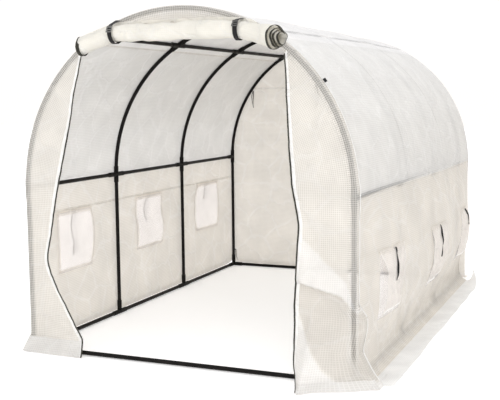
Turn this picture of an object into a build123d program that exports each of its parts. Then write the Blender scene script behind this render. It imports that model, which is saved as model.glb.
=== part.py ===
"""Walk-in polytunnel: four tube hoops on base rails, under a sewn sheet cover with a rolled-up door.

X runs across the tunnel, Y along it with the door at the front (-Y), and Z up from the ground.
"""
import os
from math import cos, degrees, radians, sin

from build123d import *

# Tube frame
tunnel_width = 2000.0
leg_height = 970.0
bay_length = 1000.0
bay_count = 3
tube_diameter = 25.0
roof_purlin_angle = 60.0

# Sleeved fittings that the tubes push into
fitting_wall = 3.0
fitting_clearance = 0.25
hoop_sleeve_reach = 55.0
purlin_socket_reach = 90.0
base_socket_reach = 80.0
tube_end_gap = 4.0
cut_overrun = 6.0

# Sheet cover, sewn from strips along the tunnel
sheet_thickness = 2.0
seat_clearance = 0.3
left_seam_height = 805.0
right_seam_height = 670.0
roof_seam_angle = 55.0
rear_seam_drop = 419.0

# Skirt that lies out on the ground
skirt_top = 70.0
skirt_reach = 185.0
skirt_bend_radius = 45.0

# Door: its head below the top of the cover, and zips set in from the legs along two front flaps
door_head_drop = 172.0
left_zip_head_inset = 435.0
left_zip_knee_inset = 112.0
left_zip_knee_height = 545.0
left_zip_knee_radius = 160.0
left_zip_foot_inset = 378.0
right_zip_head_inset = 378.0
right_zip_knee_inset = 290.0
right_zip_knee_height = 820.0
right_zip_knee_radius = 900.0
right_zip_foot_inset = 340.0
zip_width = 12.0
zip_thickness = 3.0

# Door sheet rolled up a little past both zips, bowed between its two straps
roll_radius = 57.0
roll_core_radius = 11.0
roll_turns = 4
roll_left_overhang = 5.0
roll_right_overhang = 28.0
roll_drop = 148.0
roll_bow_radius = 3100.0
left_strap_inset = 200.0
right_strap_inset = 260.0
strap_width = 25.0
strap_thickness = 2.0
strap_rise = 84.0
strap_top_radius = 4.0

# Windows in each bay of each side, lower on the right, with a net, a hanging flap and a tie
window_width = 380.0
window_height = 370.0
left_sill_height = 412.0
right_sill_height = 277.0
window_corner_radius = 15.0
net_thickness = 1.0
flap_overlap = 18.0
flap_bulge = 16.0
flap_hem = 9.0
tie_width = 10.0
tie_length = 270.0
tie_thickness = 1.5

# Places that follow from those sizes
tube_radius = tube_diameter / 2
bore_radius = tube_radius + fitting_clearance
sleeve_radius = bore_radius + fitting_wall
socket_setback = sleeve_radius + fitting_clearance
bow_radius = tunnel_width / 2
tunnel_length = bay_length * bay_count
base_level = sleeve_radius
spring_level = base_level + leg_height
hoop_places = [bay_length * n - tunnel_length / 2 for n in range(bay_count + 1)]
bay_places = [(near + far) / 2 for near, far in zip(hoop_places, hoop_places[1:])]
cover_inner = bow_radius + sleeve_radius + seat_clearance
cover_outer = cover_inner + sheet_thickness
end_inner = tunnel_length / 2 + sleeve_radius + seat_clearance
end_outer = end_inner + sheet_thickness
cover_top = spring_level + cover_outer
rear_seam_height = cover_top - rear_seam_drop
bow_axis = Axis((0, 0, spring_level), (0, -1, 0))

# Each fitting is its outer sleeves first, and then the bores cut into them and out past their ends
sleeve_then_bore = ((sleeve_radius, 0, 0, Mode.ADD), (bore_radius, socket_setback, cut_overrun, Mode.SUBTRACT))

os.makedirs("parts", exist_ok=True)


def bow_plane(angle, place):
    """The plane square to a bow's centreline, at an angle up from the right-hand spring."""
    across = bow_radius * cos(radians(angle))
    above = bow_radius * sin(radians(angle))
    along_bow = (-sin(radians(angle)), 0, cos(radians(angle)))
    return Plane((across, place, spring_level + above), x_dir=(0, -1, 0), z_dir=along_bow)


def bow_angle(length):
    """The angle that a length takes up along a bow."""
    return degrees(length / bow_radius)


# Legs and bows of each hoop
hoop_names = ["front_hoop", *[f"middle_hoop_{n}" for n in range(1, bay_count)], "rear_hoop"]
leg_foot = base_level + socket_setback
leg_head = spring_level - tube_end_gap / 2
bow_trim = bow_angle(tube_end_gap / 2)
bow_ends = (0, roof_purlin_angle, 180 - roof_purlin_angle, 180)

for name, place in zip(hoop_names, hoop_places):
    with BuildPart() as legs:
        with BuildSketch(Plane.XY.offset(leg_foot)):
            with Locations((-bow_radius, place), (bow_radius, place)):
                Circle(tube_radius)
        extrude(amount=leg_head - leg_foot)
    legs.part.label = f"{name}_legs"
    export_step(legs.part, f"parts/{name}_legs.step")

    with BuildPart() as bows:
        for start, end in zip(bow_ends, bow_ends[1:]):
            with BuildSketch(bow_plane(start + bow_trim, place)):
                Circle(tube_radius)
            revolve(axis=bow_axis, revolution_arc=end - start - 2 * bow_trim)
    bows.part.label = f"{name}_bows"
    export_step(bows.part, f"parts/{name}_bows.step")

# Purlins and side rails, one tube in each bay
roof_purlin_x = bow_radius * cos(radians(roof_purlin_angle))
roof_purlin_level = spring_level + bow_radius * sin(radians(roof_purlin_angle))
rod_length = bay_length - 2 * socket_setback
long_rods = {
    "left_base_rail": (-bow_radius, base_level),
    "right_base_rail": (bow_radius, base_level),
    "left_wall_purlin": (-bow_radius, spring_level),
    "right_wall_purlin": (bow_radius, spring_level),
    "left_roof_purlin": (-roof_purlin_x, roof_purlin_level),
    "right_roof_purlin": (roof_purlin_x, roof_purlin_level),
}
for name, (across, level) in long_rods.items():
    with BuildPart() as rods:
        for place in bay_places:
            with BuildSketch(Plane.XZ.offset(-place)):
                with Locations((across, level)):
                    Circle(tube_radius)
            extrude(amount=rod_length / 2, both=True)
    rods.part.label = name
    export_step(rods.part, f"parts/{name}.step")

# Rails across the two ends
for name, place in (("front_base_rail", hoop_places[0]), ("rear_base_rail", hoop_places[-1])):
    with BuildPart() as cross_rail:
        with BuildSketch(Plane.YZ):
            with Locations((place, base_level)):
                Circle(tube_radius)
        extrude(amount=bow_radius - socket_setback, both=True)
    cross_rail.part.label = name
    export_step(cross_rail.part, f"parts/{name}.step")

# Elbows that join a leg and two rails at each corner
corner = Vector(bow_radius, hoop_places[0], base_level)
corner_ways = (Vector(-1, 0, 0), Vector(0, 1, 0), Vector(0, 0, 1))
with BuildPart() as base_corners:
    with Locations(corner):
        Sphere(sleeve_radius)
    for radius, setback, overrun, mode in sleeve_then_bore:
        for way in corner_ways:
            with BuildSketch(Plane(corner + way * setback, z_dir=way)):
                Circle(radius)
            extrude(amount=base_socket_reach + overrun - setback, mode=mode)
    mirror(about=Plane.XZ)
    mirror(about=Plane.YZ)
base_corners.part.label = "base_corners"
export_step(base_corners.part, "parts/base_corners.step")

# Tees that join a leg and two rails at each middle hoop
tee_ways = (Vector(0, -1, 0), Vector(0, 1, 0), Vector(0, 0, 1))
with BuildPart() as base_tees:
    for radius, setback, overrun, mode in sleeve_then_bore:
        for place in hoop_places[1:-1]:
            for way in tee_ways:
                with BuildSketch(Plane(Vector(bow_radius, place, base_level) + way * setback, z_dir=way)):
                    Circle(radius)
                extrude(amount=base_socket_reach + overrun - setback, mode=mode)
    mirror(about=Plane.YZ)
base_tees.part.label = "base_tees"
export_step(base_tees.part, "parts/base_tees.step")


def hoop_fittings(angle, leg_reach, places, ways):
    """Fittings on both sides of these hoops: a sleeve along the hoop, and sockets along the purlins."""
    with BuildPart() as fittings:
        for radius, setback, overrun, mode in sleeve_then_bore:
            bow_reach = bow_angle(hoop_sleeve_reach + overrun)
            start = angle if leg_reach else angle - bow_reach
            for place in places:
                with BuildSketch(bow_plane(start, place)):
                    Circle(radius)
                revolve(axis=bow_axis, revolution_arc=angle + bow_reach - start, mode=mode)
                if leg_reach:
                    with BuildSketch(Plane.XY.offset(spring_level - leg_reach - overrun)):
                        with Locations((bow_radius, place)):
                            Circle(radius)
                    extrude(amount=leg_reach + overrun, mode=mode)
                centre = bow_plane(angle, place).origin
                for way in ways:
                    with BuildSketch(Plane(centre + way * setback, x_dir=(0, 0, 1), z_dir=way)):
                        Circle(radius)
                    extrude(amount=purlin_socket_reach + overrun - setback, mode=mode)
        mirror(about=Plane.YZ)
    return fittings.part


# Tees at the end hoops and crosses at the middle hoops
backwards = Vector(0, 1, 0)
forwards = Vector(0, -1, 0)
for name, angle, leg_reach in (("wall", 0, hoop_sleeve_reach), ("roof", roof_purlin_angle, 0)):
    front_tees = hoop_fittings(angle, leg_reach, hoop_places[:1], (backwards,))
    rear_tees = hoop_fittings(angle, leg_reach, hoop_places[-1:], (forwards,))
    with BuildPart() as end_tees:
        add(front_tees)
        add(rear_tees)
    end_tees.part.label = f"end_{name}_tees"
    export_step(end_tees.part, f"parts/end_{name}_tees.step")

    crosses = hoop_fittings(angle, leg_reach, hoop_places[1:-1], (backwards, forwards))
    crosses.label = f"middle_{name}_crosses"
    export_step(crosses, f"parts/middle_{name}_crosses.step")

# Each side is built on the right, and the left one is mirrored
wall_plane = Plane((cover_inner, 0, 0), x_dir=(0, 1, 0), z_dir=(1, 0, 0))
tie_inner = cover_outer + flap_bulge + sheet_thickness + seat_clearance
tie_plane = Plane((tie_inner, 0, 0), x_dir=(0, 1, 0), z_dir=(1, 0, 0))
flap_half = window_width / 2 + flap_overlap
skirt_middle = cover_inner + sheet_thickness / 2
side_heights = {
    "right": (right_seam_height, right_sill_height),
    "left": (left_seam_height, left_sill_height),
}
for side, (seam_height, sill_height) in side_heights.items():
    # Wall strip below the seam, with a window cut in each bay
    window_places = [(place, sill_height + window_height / 2) for place in bay_places]
    with BuildPart() as wall_cover:
        with BuildSketch(wall_plane):
            with Locations((0, (skirt_top + seam_height) / 2)):
                Rectangle(2 * end_inner, seam_height - skirt_top)
            with Locations(*window_places):
                RectangleRounded(window_width, window_height, window_corner_radius, mode=Mode.SUBTRACT)
        extrude(amount=sheet_thickness)

    # Shoulder strip, from the side seam round to the roof seam
    with BuildPart() as shoulder_cover:
        with BuildSketch(Plane.XZ):
            with BuildLine():
                outer_wall = Line((cover_outer, seam_height), (cover_outer, spring_level))
                outer_bow = CenterArc((0, spring_level), cover_outer, 0, roof_seam_angle)
                inner_bow = CenterArc((0, spring_level), cover_inner, 0, roof_seam_angle)
                inner_wall = Line((cover_inner, seam_height), (cover_inner, spring_level))
                Line(outer_bow @ 1, inner_bow @ 1)
                Line(outer_wall @ 0, inner_wall @ 0)
            make_face()
        extrude(amount=end_inner, both=True)

    # Net in each window
    with BuildPart() as window_nets:
        with BuildSketch(wall_plane):
            with Locations(*window_places):
                RectangleRounded(window_width, window_height, window_corner_radius)
        extrude(amount=net_thickness)

    # Flap that hangs outside each net from the seam, bowed away from it
    flap_foot = sill_height - flap_overlap
    with BuildPart() as window_flaps:
        for place in bay_places:
            with BuildSketch(Plane((cover_outer, place, flap_foot))):
                with BuildLine():
                    outside = ThreePointArc(
                        (0, -flap_half), (flap_bulge + sheet_thickness, 0), (0, flap_half)
                    )
                    inside = ThreePointArc(
                        (0, -flap_half + flap_hem), (flap_bulge, 0), (0, flap_half - flap_hem)
                    )
                    Line(outside @ 0, inside @ 0)
                    Line(outside @ 1, inside @ 1)
                make_face()
            extrude(amount=seam_height - flap_foot)

    # Tie that hangs down the middle of each flap, to hold it when it is rolled up
    with BuildPart() as window_ties:
        with BuildSketch(tie_plane):
            with Locations(*[(place, seam_height - tie_length / 2) for place in bay_places]):
                Rectangle(tie_width, tie_length)
        extrude(amount=tie_thickness)

    # Skirt along the side, bent outwards onto the ground
    with BuildPart() as skirt:
        with BuildSketch(Plane.XZ):
            with BuildLine():
                FilletPolyline(
                    (skirt_middle, skirt_top),
                    (skirt_middle, sheet_thickness / 2),
                    (skirt_middle + skirt_reach, sheet_thickness / 2),
                    radius=skirt_bend_radius,
                )
            trace(line_width=sheet_thickness)
        extrude(amount=end_inner, both=True)

    side_pieces = {
        "wall_cover": wall_cover,
        "shoulder_cover": shoulder_cover,
        "window_nets": window_nets,
        "window_flaps": window_flaps,
        "window_ties": window_ties,
        "skirt": skirt,
    }
    for name, piece in side_pieces.items():
        side_piece = piece.part
        if side == "left":
            with BuildPart() as mirrored:
                mirror(piece.part, about=Plane.YZ)
            side_piece = mirrored.part
        side_piece.label = f"{side}_{name}"
        export_step(side_piece, f"parts/{side}_{name}.step")

# Roof strip between the two roof seams
with BuildPart() as roof_cover:
    with BuildSketch(Plane.XZ):
        with BuildLine():
            roof_span = 180 - 2 * roof_seam_angle
            outer_bow = CenterArc((0, spring_level), cover_outer, roof_seam_angle, roof_span)
            inner_bow = CenterArc((0, spring_level), cover_inner, roof_seam_angle, roof_span)
            Line(outer_bow @ 0, inner_bow @ 0)
            Line(outer_bow @ 1, inner_bow @ 1)
        make_face()
    extrude(amount=end_inner, both=True)
roof_cover.part.label = "roof_cover"
export_step(roof_cover.part, "parts/roof_cover.step")


def end_outline(low, high):
    """The hoop-shaped outline of an end sheet, between two levels."""
    with BuildSketch() as outline:
        with Locations((0, spring_level)):
            Circle(cover_outer)
        with Locations((0, spring_level / 2)):
            Rectangle(2 * cover_outer, spring_level)
        with Locations((0, (low + high) / 2)):
            Rectangle(2 * cover_outer, high - low, mode=Mode.INTERSECT)
    return outline.sketch


# Rear end sheet, in two strips
rear_plane = Plane.XZ.offset(-end_inner)
rear_strips = {
    "rear_wall_cover": end_outline(skirt_top, rear_seam_height),
    "rear_gable_cover": end_outline(rear_seam_height, cover_top),
}
for name, outline in rear_strips.items():
    with BuildPart() as rear_cover:
        with BuildSketch(rear_plane):
            add(outline)
        extrude(amount=-sheet_thickness)
    rear_cover.part.label = name
    export_step(rear_cover.part, f"parts/{name}.step")

# Skirt along the rear
with BuildPart() as rear_skirt:
    with BuildSketch(Plane.YZ):
        with BuildLine():
            FilletPolyline(
                (end_inner + sheet_thickness / 2, skirt_top),
                (end_inner + sheet_thickness / 2, sheet_thickness / 2),
                (end_inner + sheet_thickness / 2 + skirt_reach, sheet_thickness / 2),
                radius=skirt_bend_radius,
            )
        trace(line_width=sheet_thickness)
    extrude(amount=cover_outer, both=True)
rear_skirt.part.label = "rear_skirt"
export_step(rear_skirt.part, "parts/rear_skirt.step")

# Front gable sheet above the bowed door head
front_plane = Plane.XZ.offset(end_inner)
head_centre = (0, cover_top - door_head_drop - roll_bow_radius)
front_outline = end_outline(0, cover_top)
with BuildPart() as front_gable_cover:
    with BuildSketch(front_plane):
        add(front_outline)
        with Locations(head_centre):
            Circle(roll_bow_radius, mode=Mode.SUBTRACT)
    extrude(amount=sheet_thickness)
front_gable_cover.part.label = "front_gable_cover"
export_step(front_gable_cover.part, "parts/front_gable_cover.step")

# Front flaps beside the doorway: the left one hangs to the ground, the right one ends at its skirt
left_zip_head = left_zip_head_inset - bow_radius
left_zip_knee = left_zip_knee_inset - bow_radius
left_zip_foot = left_zip_foot_inset - bow_radius
right_zip_head = bow_radius - right_zip_head_inset
right_zip_knee = bow_radius - right_zip_knee_inset
right_zip_foot = bow_radius - right_zip_foot_inset
left_zip = ((left_zip_head, cover_top), (left_zip_knee, left_zip_knee_height), (left_zip_foot, 0))
right_zip = ((right_zip_head, cover_top), (right_zip_knee, right_zip_knee_height), (right_zip_foot, 0))
front_flaps = {
    "left": (left_zip, left_zip_knee_radius, -cover_outer, 0),
    "right": (right_zip, right_zip_knee_radius, cover_outer, skirt_top),
}
zip_outlines = []
for side, (zip_points, knee_radius, far_x, foot_level) in front_flaps.items():
    with BuildSketch() as flap_outline:
        with BuildLine():
            zip_line = FilletPolyline(*zip_points, radius=knee_radius)
            Polyline(zip_line @ 1, (far_x, 0), (far_x, cover_top), zip_line @ 0)
        make_face()
        add(end_outline(foot_level, cover_top), mode=Mode.INTERSECT)
        with Locations(head_centre):
            Circle(roll_bow_radius, mode=Mode.INTERSECT)

    with BuildPart() as front_flap:
        with BuildSketch(front_plane):
            add(flap_outline.sketch)
        extrude(amount=sheet_thickness)
    front_flap.part.label = f"front_{side}_flap"
    export_step(front_flap.part, f"parts/front_{side}_flap.step")

    with BuildSketch() as zip_outline:
        trace(zip_line, line_width=2 * zip_width)
        add(flap_outline.sketch, mode=Mode.INTERSECT)
    zip_outlines.append(zip_outline.sketch)

# Zip tape along the doorway edge of each flap
with BuildPart() as door_zips:
    with BuildSketch(front_plane.offset(sheet_thickness)):
        add(zip_outlines)
    extrude(amount=zip_thickness)
door_zips.part.label = "door_zips"
export_step(door_zips.part, "parts/door_zips.step")

# Skirt below the right-hand front flap
with BuildPart() as front_right_skirt:
    with BuildSketch(Plane.YZ.offset(right_zip_foot)):
        with BuildLine():
            FilletPolyline(
                (-end_inner - sheet_thickness / 2, skirt_top),
                (-end_inner - sheet_thickness / 2, sheet_thickness / 2),
                (-end_inner - sheet_thickness / 2 - skirt_reach, sheet_thickness / 2),
                radius=skirt_bend_radius,
            )
        trace(line_width=sheet_thickness)
    extrude(amount=cover_outer - right_zip_foot)
front_right_skirt.part.label = "front_right_skirt"
export_step(front_right_skirt.part, "parts/front_right_skirt.step")

# Door sheet rolled into a spiral of half turns, and bowed as it hangs between the straps
roll_place = -end_outer - seat_clearance - roll_radius
roll_left = left_zip_head - roll_left_overhang
roll_right = right_zip_head + roll_right_overhang
roll_axis_level = cover_top - roll_drop - roll_bow_radius
roll_axis = Axis((0, roll_place, roll_axis_level), (0, 1, 0))
roll_pitch = (roll_radius - sheet_thickness / 2 - roll_core_radius) / (roll_turns - 1 / 4)


def roll_plane(across):
    """The plane square to the bowed roll, at a length along it from the middle of the tunnel."""
    turn = across / roll_bow_radius
    centre = (roll_bow_radius * sin(turn), roll_place, roll_axis_level + roll_bow_radius * cos(turn))
    return Plane(centre, x_dir=(0, 1, 0), z_dir=(cos(turn), 0, -sin(turn)))


with BuildPart() as door_roll:
    with BuildSketch(roll_plane(roll_left)):
        with BuildLine():
            for half_turn in range(2 * roll_turns):
                odd = half_turn % 2
                arc_centre = (roll_pitch / 4 if odd else -roll_pitch / 4, 0)
                CenterArc(arc_centre, roll_core_radius + half_turn * roll_pitch / 2, 180 * odd, 180)
        trace(line_width=sheet_thickness)
    revolve(axis=roll_axis, revolution_arc=degrees((roll_right - roll_left) / roll_bow_radius))
door_roll.part.label = "door_roll"
export_step(door_roll.part, "parts/door_roll.step")

# Straps that hang from the gable and hold the roll up
wrap_radius = roll_radius + seat_clearance
strap_top = (roll_radius - strap_thickness - strap_top_radius, strap_rise)
with BuildSketch() as strap_hollow:
    Circle(wrap_radius)
    with Locations(strap_top):
        Circle(strap_top_radius)
    make_hull()
with BuildPart() as roll_straps:
    for across in (roll_left + left_strap_inset, roll_right - right_strap_inset):
        with BuildSketch(roll_plane(across)):
            Circle(wrap_radius + strap_thickness)
            with Locations(strap_top):
                Circle(strap_top_radius + strap_thickness)
            make_hull()
            add(strap_hollow.sketch, mode=Mode.SUBTRACT)
            with Locations((roll_radius + roll_radius / 2, 0)):
                Rectangle(roll_radius, 2 * (strap_rise + roll_radius), mode=Mode.SUBTRACT)
        extrude(amount=strap_width / 2, both=True)
roll_straps.part.label = "roll_straps"
export_step(roll_straps.part, "parts/roll_straps.step")
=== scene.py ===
# %% [markdown]
# # Dressing a polytunnel greenhouse
# The tunnel is a frame of dark tube hoops under a sewn cover of woven, translucent sheet. The frame
# arrives as finished solids, so this lesson gives them their paint, and makes everything that is soft:
# the cover, the two front flaps, the rolled-up door, the window flaps and nets, and the zips, seams and
# straps that hold them.

# %% Load the frame
import math

import bpy
import numpy as np
from mathutils import Matrix, Vector


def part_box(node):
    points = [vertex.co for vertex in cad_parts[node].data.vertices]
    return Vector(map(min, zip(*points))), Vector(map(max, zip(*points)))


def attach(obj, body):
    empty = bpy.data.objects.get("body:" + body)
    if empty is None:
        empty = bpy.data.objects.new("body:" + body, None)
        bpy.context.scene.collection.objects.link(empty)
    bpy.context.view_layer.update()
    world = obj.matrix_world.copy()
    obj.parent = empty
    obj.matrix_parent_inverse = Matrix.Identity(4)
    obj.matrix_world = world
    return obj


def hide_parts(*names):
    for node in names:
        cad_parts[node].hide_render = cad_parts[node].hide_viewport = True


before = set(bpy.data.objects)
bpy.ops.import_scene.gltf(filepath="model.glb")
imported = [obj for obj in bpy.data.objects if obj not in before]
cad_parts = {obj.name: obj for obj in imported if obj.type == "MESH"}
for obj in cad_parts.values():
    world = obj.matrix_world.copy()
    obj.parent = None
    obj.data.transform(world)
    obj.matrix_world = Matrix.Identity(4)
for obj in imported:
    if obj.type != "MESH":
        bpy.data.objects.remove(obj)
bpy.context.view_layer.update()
scene = bpy.context.scene
print("frame nodes:", len(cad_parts))

# %% [markdown]
# ## Measures
# A cover has to lie on its hoops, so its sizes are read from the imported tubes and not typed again. The
# hoop is a half circle on two straight legs, and one length along it, counted from the ridge, says
# where on the cover we are.

# %% Read the hoops
hoop_names = ["front_hoop", "middle_hoop_1", "middle_hoop_2", "rear_hoop"]
leg_low, leg_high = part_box("front_hoop_legs")
tube_radius = (leg_high[1] - leg_low[1]) / 2
bow_radius = leg_high[0] - tube_radius
spring_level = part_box("front_hoop_bows")[1][2] - bow_radius - tube_radius
hoop_places = [sum(corner[1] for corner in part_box(name + "_legs")) / 2 for name in hoop_names]
front_place = hoop_places[0]
rear_place = hoop_places[-1]
bay_length = hoop_places[1] - hoop_places[0]
bay_places = [(near + far) / 2 for near, far in zip(hoop_places, hoop_places[1:])]
quarter_bow = bow_radius * math.pi / 2
roof_purlin_x = sum(corner[0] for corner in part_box("right_roof_purlin")) / 2
roof_purlin_arc = bow_radius * math.asin(roof_purlin_x / bow_radius)
sleeve_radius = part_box("end_wall_tees")[1][0] - bow_radius
print(f"bow radius {bow_radius:.3f} m, spring at {spring_level:.3f} m, bays of {bay_length:.3f} m")

# %% Read the windows, the seams and the skirt
side_signs = {"left": -1, "right": 1}
window_sills = {side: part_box(f"{side}_window_nets")[0][2] for side in side_signs}
window_heads = {side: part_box(f"{side}_window_nets")[1][2] for side in side_signs}
seam_levels = {side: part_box(f"{side}_wall_cover")[1][2] for side in side_signs}
window_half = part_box("right_window_nets")[1][1] - bay_places[-1]
rear_seam_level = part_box("rear_gable_cover")[0][2]
skirt_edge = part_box("right_skirt")[1][0]
roof_seam_arc = bow_radius * math.asin(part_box("roof_cover")[1][0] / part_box("right_wall_cover")[1][0])
wall_arc_length = quarter_bow + spring_level
print("window sills", {side: round(level, 3) for side, level in window_sills.items()})
print("side seams", {side: round(level, 3) for side, level in seam_levels.items()})

# %% [markdown]
# ## Camera
# The camera stands at the front right corner, a little under head height, where the photograph was
# taken from. Its place and turn were found by fitting the hoops' tubes to the picture, and the lens
# follows from the same fit.

# %% Place the camera
camera_place = Vector((2.306, -5.985, 1.496))
camera_yaw = math.radians(-22.76)
camera_pitch = math.radians(-6.31)
camera_roll = math.radians(0.57)
camera_lens_mm = 65.94
camera_sensor_mm = 36

forward = Vector((
    math.sin(camera_yaw) * math.cos(camera_pitch),
    math.cos(camera_yaw) * math.cos(camera_pitch),
    math.sin(camera_pitch),
))
level_right = Vector((math.cos(camera_yaw), -math.sin(camera_yaw), 0))
level_down = forward.cross(level_right)
right = level_right * math.cos(camera_roll) + level_down * math.sin(camera_roll)
down = level_down * math.cos(camera_roll) - level_right * math.sin(camera_roll)
camera_data = bpy.data.cameras.new("camera")
camera_data.lens = camera_lens_mm
camera_data.sensor_width = camera_sensor_mm
camera_data.sensor_fit = "HORIZONTAL"
camera = bpy.data.objects.new("camera", camera_data)
turn = Matrix((right, -down, -forward)).transposed()
camera.matrix_world = Matrix.Translation(camera_place) @ turn.to_4x4()
scene.collection.objects.link(camera)
scene.camera = camera
print("camera looks along", tuple(round(value, 3) for value in forward))

# %% [markdown]
# ## Studio
# The photograph is cut out on white, under soft light from above. A pale sky that is brightest overhead
# lights the tunnel from all round, a wide lamp adds a little direction, and a pale floor sends light up
# into the doorway.

# %% Light the studio
zenith_colour = (1.13, 1.14, 1.175, 1)
horizon_colour = (1.055, 1.03, 1.0, 1)
lamp_watts = 80
lamp_place = Vector((3.0, -6.5, 4.4))
lamp_size = 3.5
floor_colour = (0.94, 0.94, 0.94, 1)
floor_roughness = 0.9
floor_glow = 0.28
floor_half = 40

scene.view_settings.view_transform = "Standard"
world = bpy.data.worlds.new("studio_sky")
scene.world = world
world.use_nodes = True
sky_nodes = world.node_tree.nodes
sky_links = world.node_tree.links
direction = sky_nodes.new("ShaderNodeTexCoord")
split = sky_nodes.new("ShaderNodeSeparateXYZ")
blend = sky_nodes.new("ShaderNodeMix")
blend.data_type = "RGBA"
blend.inputs["A"].default_value = horizon_colour
blend.inputs["B"].default_value = zenith_colour
sky_links.new(direction.outputs["Generated"], split.inputs[0])
sky_links.new(split.outputs["Z"], blend.inputs["Factor"])
sky_links.new(blend.outputs["Result"], sky_nodes["Background"].inputs["Color"])

lamp_data = bpy.data.lights.new("wide_lamp", "AREA")
lamp_data.energy = lamp_watts
lamp_data.size = lamp_size
lamp = bpy.data.objects.new("wide_lamp", lamp_data)
lamp_aim = Vector((0, 0, spring_level)) - lamp_place
lamp.matrix_world = Matrix.Translation(lamp_place) @ lamp_aim.to_track_quat("-Z", "Y").to_matrix().to_4x4()
scene.collection.objects.link(lamp)

floor_mesh = bpy.data.meshes.new("floor")
floor_corners = [(-floor_half, -floor_half, 0), (floor_half, -floor_half, 0)]
floor_corners += [(floor_half, floor_half, 0), (-floor_half, floor_half, 0)]
floor_mesh.from_pydata(floor_corners, [], [(0, 1, 2, 3)])
floor_material = bpy.data.materials.new("floor")
floor_material.use_nodes = True
floor_surface = floor_material.node_tree.nodes["Principled BSDF"].inputs
floor_surface["Base Color"].default_value = floor_colour
floor_surface["Roughness"].default_value = floor_roughness
floor_surface["Emission Color"].default_value = (1, 1, 1, 1)
floor_surface["Emission Strength"].default_value = floor_glow
floor_mesh.materials.append(floor_material)
floor = bpy.data.objects.new("floor", floor_mesh)
scene.collection.objects.link(floor)
print("studio lit with", len(bpy.data.lights), "lamp and a pale sky")

# %% [markdown]
# ## Shared effects
# The cover is a plastic film on a net of flat threads about a centimetre apart, and it keeps the
# creases of its packing. Both effects are made once, as shader groups that give a mask and a height,
# and every sheet uses them with its own scale. They read the sheet's own flat coordinates in metres, so
# the threads follow its curves. A picture of cloth could do this as well, but it would repeat, and blur
# from close by.

# %% Helpers for shader trees
def new_group(name, inputs, outputs):
    """An empty shader group: inputs are (name, socket type, value) each, and outputs (name, type)."""
    group = bpy.data.node_groups.new(name, "ShaderNodeTree")
    for label, kind, value in inputs:
        socket = group.interface.new_socket(label, in_out="INPUT", socket_type=kind)
        if value is not None:
            socket.default_value = value
    for label, kind in outputs:
        group.interface.new_socket(label, in_out="OUTPUT", socket_type=kind)
    return group, group.nodes.new("NodeGroupInput"), group.nodes.new("NodeGroupOutput")


def wire(tree, value, socket):
    """Links an output to a socket, or sets the socket if the value is a constant."""
    if isinstance(value, bpy.types.NodeSocket):
        tree.links.new(value, socket)
    else:
        socket.default_value = value


def calculate(tree, operation, *values, clamp=False):
    """The output of a math node."""
    node = tree.nodes.new("ShaderNodeMath")
    node.operation = operation
    node.use_clamp = clamp
    for value, socket in zip(values, node.inputs):
        wire(tree, value, socket)
    return node.outputs[0]


def calculate_vector(tree, operation, *values):
    """The output of a vector math node, also for colours."""
    node = tree.nodes.new("ShaderNodeVectorMath")
    node.operation = operation
    for value, socket in zip(values, node.inputs):
        wire(tree, value, socket)
    return node.outputs[0]


def ramp(tree, value, low, high, from_value=0.0, to_value=1.0):
    """A smooth step of a value between two limits."""
    node = tree.nodes.new("ShaderNodeMapRange")
    node.interpolation_type = "SMOOTHSTEP"
    for given, label in zip((value, low, high, from_value, to_value),
                            ("Value", "From Min", "From Max", "To Min", "To Max")):
        wire(tree, given, node.inputs[label])
    return node.outputs["Result"]


def mix_colours(tree, factor, first, second):
    """A colour between two colours."""
    node = tree.nodes.new("ShaderNodeMix")
    node.data_type = "RGBA"
    wire(tree, factor, node.inputs["Factor"])
    wire(tree, first, node.inputs["A"])
    wire(tree, second, node.inputs["B"])
    return node.outputs["Result"]


def noise(tree, vector, scale, detail=2.0, roughness=0.5):
    """The value of a noise texture."""
    node = tree.nodes.new("ShaderNodeTexNoise")
    wire(tree, vector, node.inputs["Vector"])
    wire(tree, scale, node.inputs["Scale"])
    node.inputs["Detail"].default_value = detail
    node.inputs["Roughness"].default_value = roughness
    return node.outputs["Fac"]


def use_group(tree, group, **values):
    """The outputs of a group node that has these inputs."""
    node = tree.nodes.new("ShaderNodeGroup")
    node.node_tree = group
    for label, value in values.items():
        wire(tree, value, node.inputs[label])
    return node.outputs


print("helpers for shader trees ready")

# %% Threads of a woven sheet
thread_group, inlet, outlet = new_group(
    "woven_threads",
    [("Vector", "NodeSocketVector", None), ("Pitch", "NodeSocketFloat", 0.011),
     ("Width", "NodeSocketFloat", 0.3)],
    [("Threads", "NodeSocketFloat"), ("Height", "NodeSocketFloat")],
)
axes = thread_group.nodes.new("ShaderNodeSeparateXYZ")
thread_group.links.new(inlet.outputs["Vector"], axes.inputs[0])
half_width = calculate(thread_group, "MULTIPLY", inlet.outputs["Width"], 0.5)
bands = []
for axis in ("X", "Y"):
    cells = calculate(thread_group, "DIVIDE", axes.outputs[axis], inlet.outputs["Pitch"])
    from_thread = calculate(thread_group, "PINGPONG", cells, 0.5)
    bands.append(ramp(thread_group, from_thread, half_width, 0.0))
thread_group.links.new(calculate(thread_group, "MAXIMUM", *bands), outlet.inputs["Threads"])
thread_group.links.new(calculate(thread_group, "ADD", *bands), outlet.inputs["Height"])
print("thread group of", len(thread_group.nodes), "nodes")

# %% Creases of a folded film
crease_width = 0.08
crease_drift = 0.16
crease_height = 0.35
cloud_detail = 3.0

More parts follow.
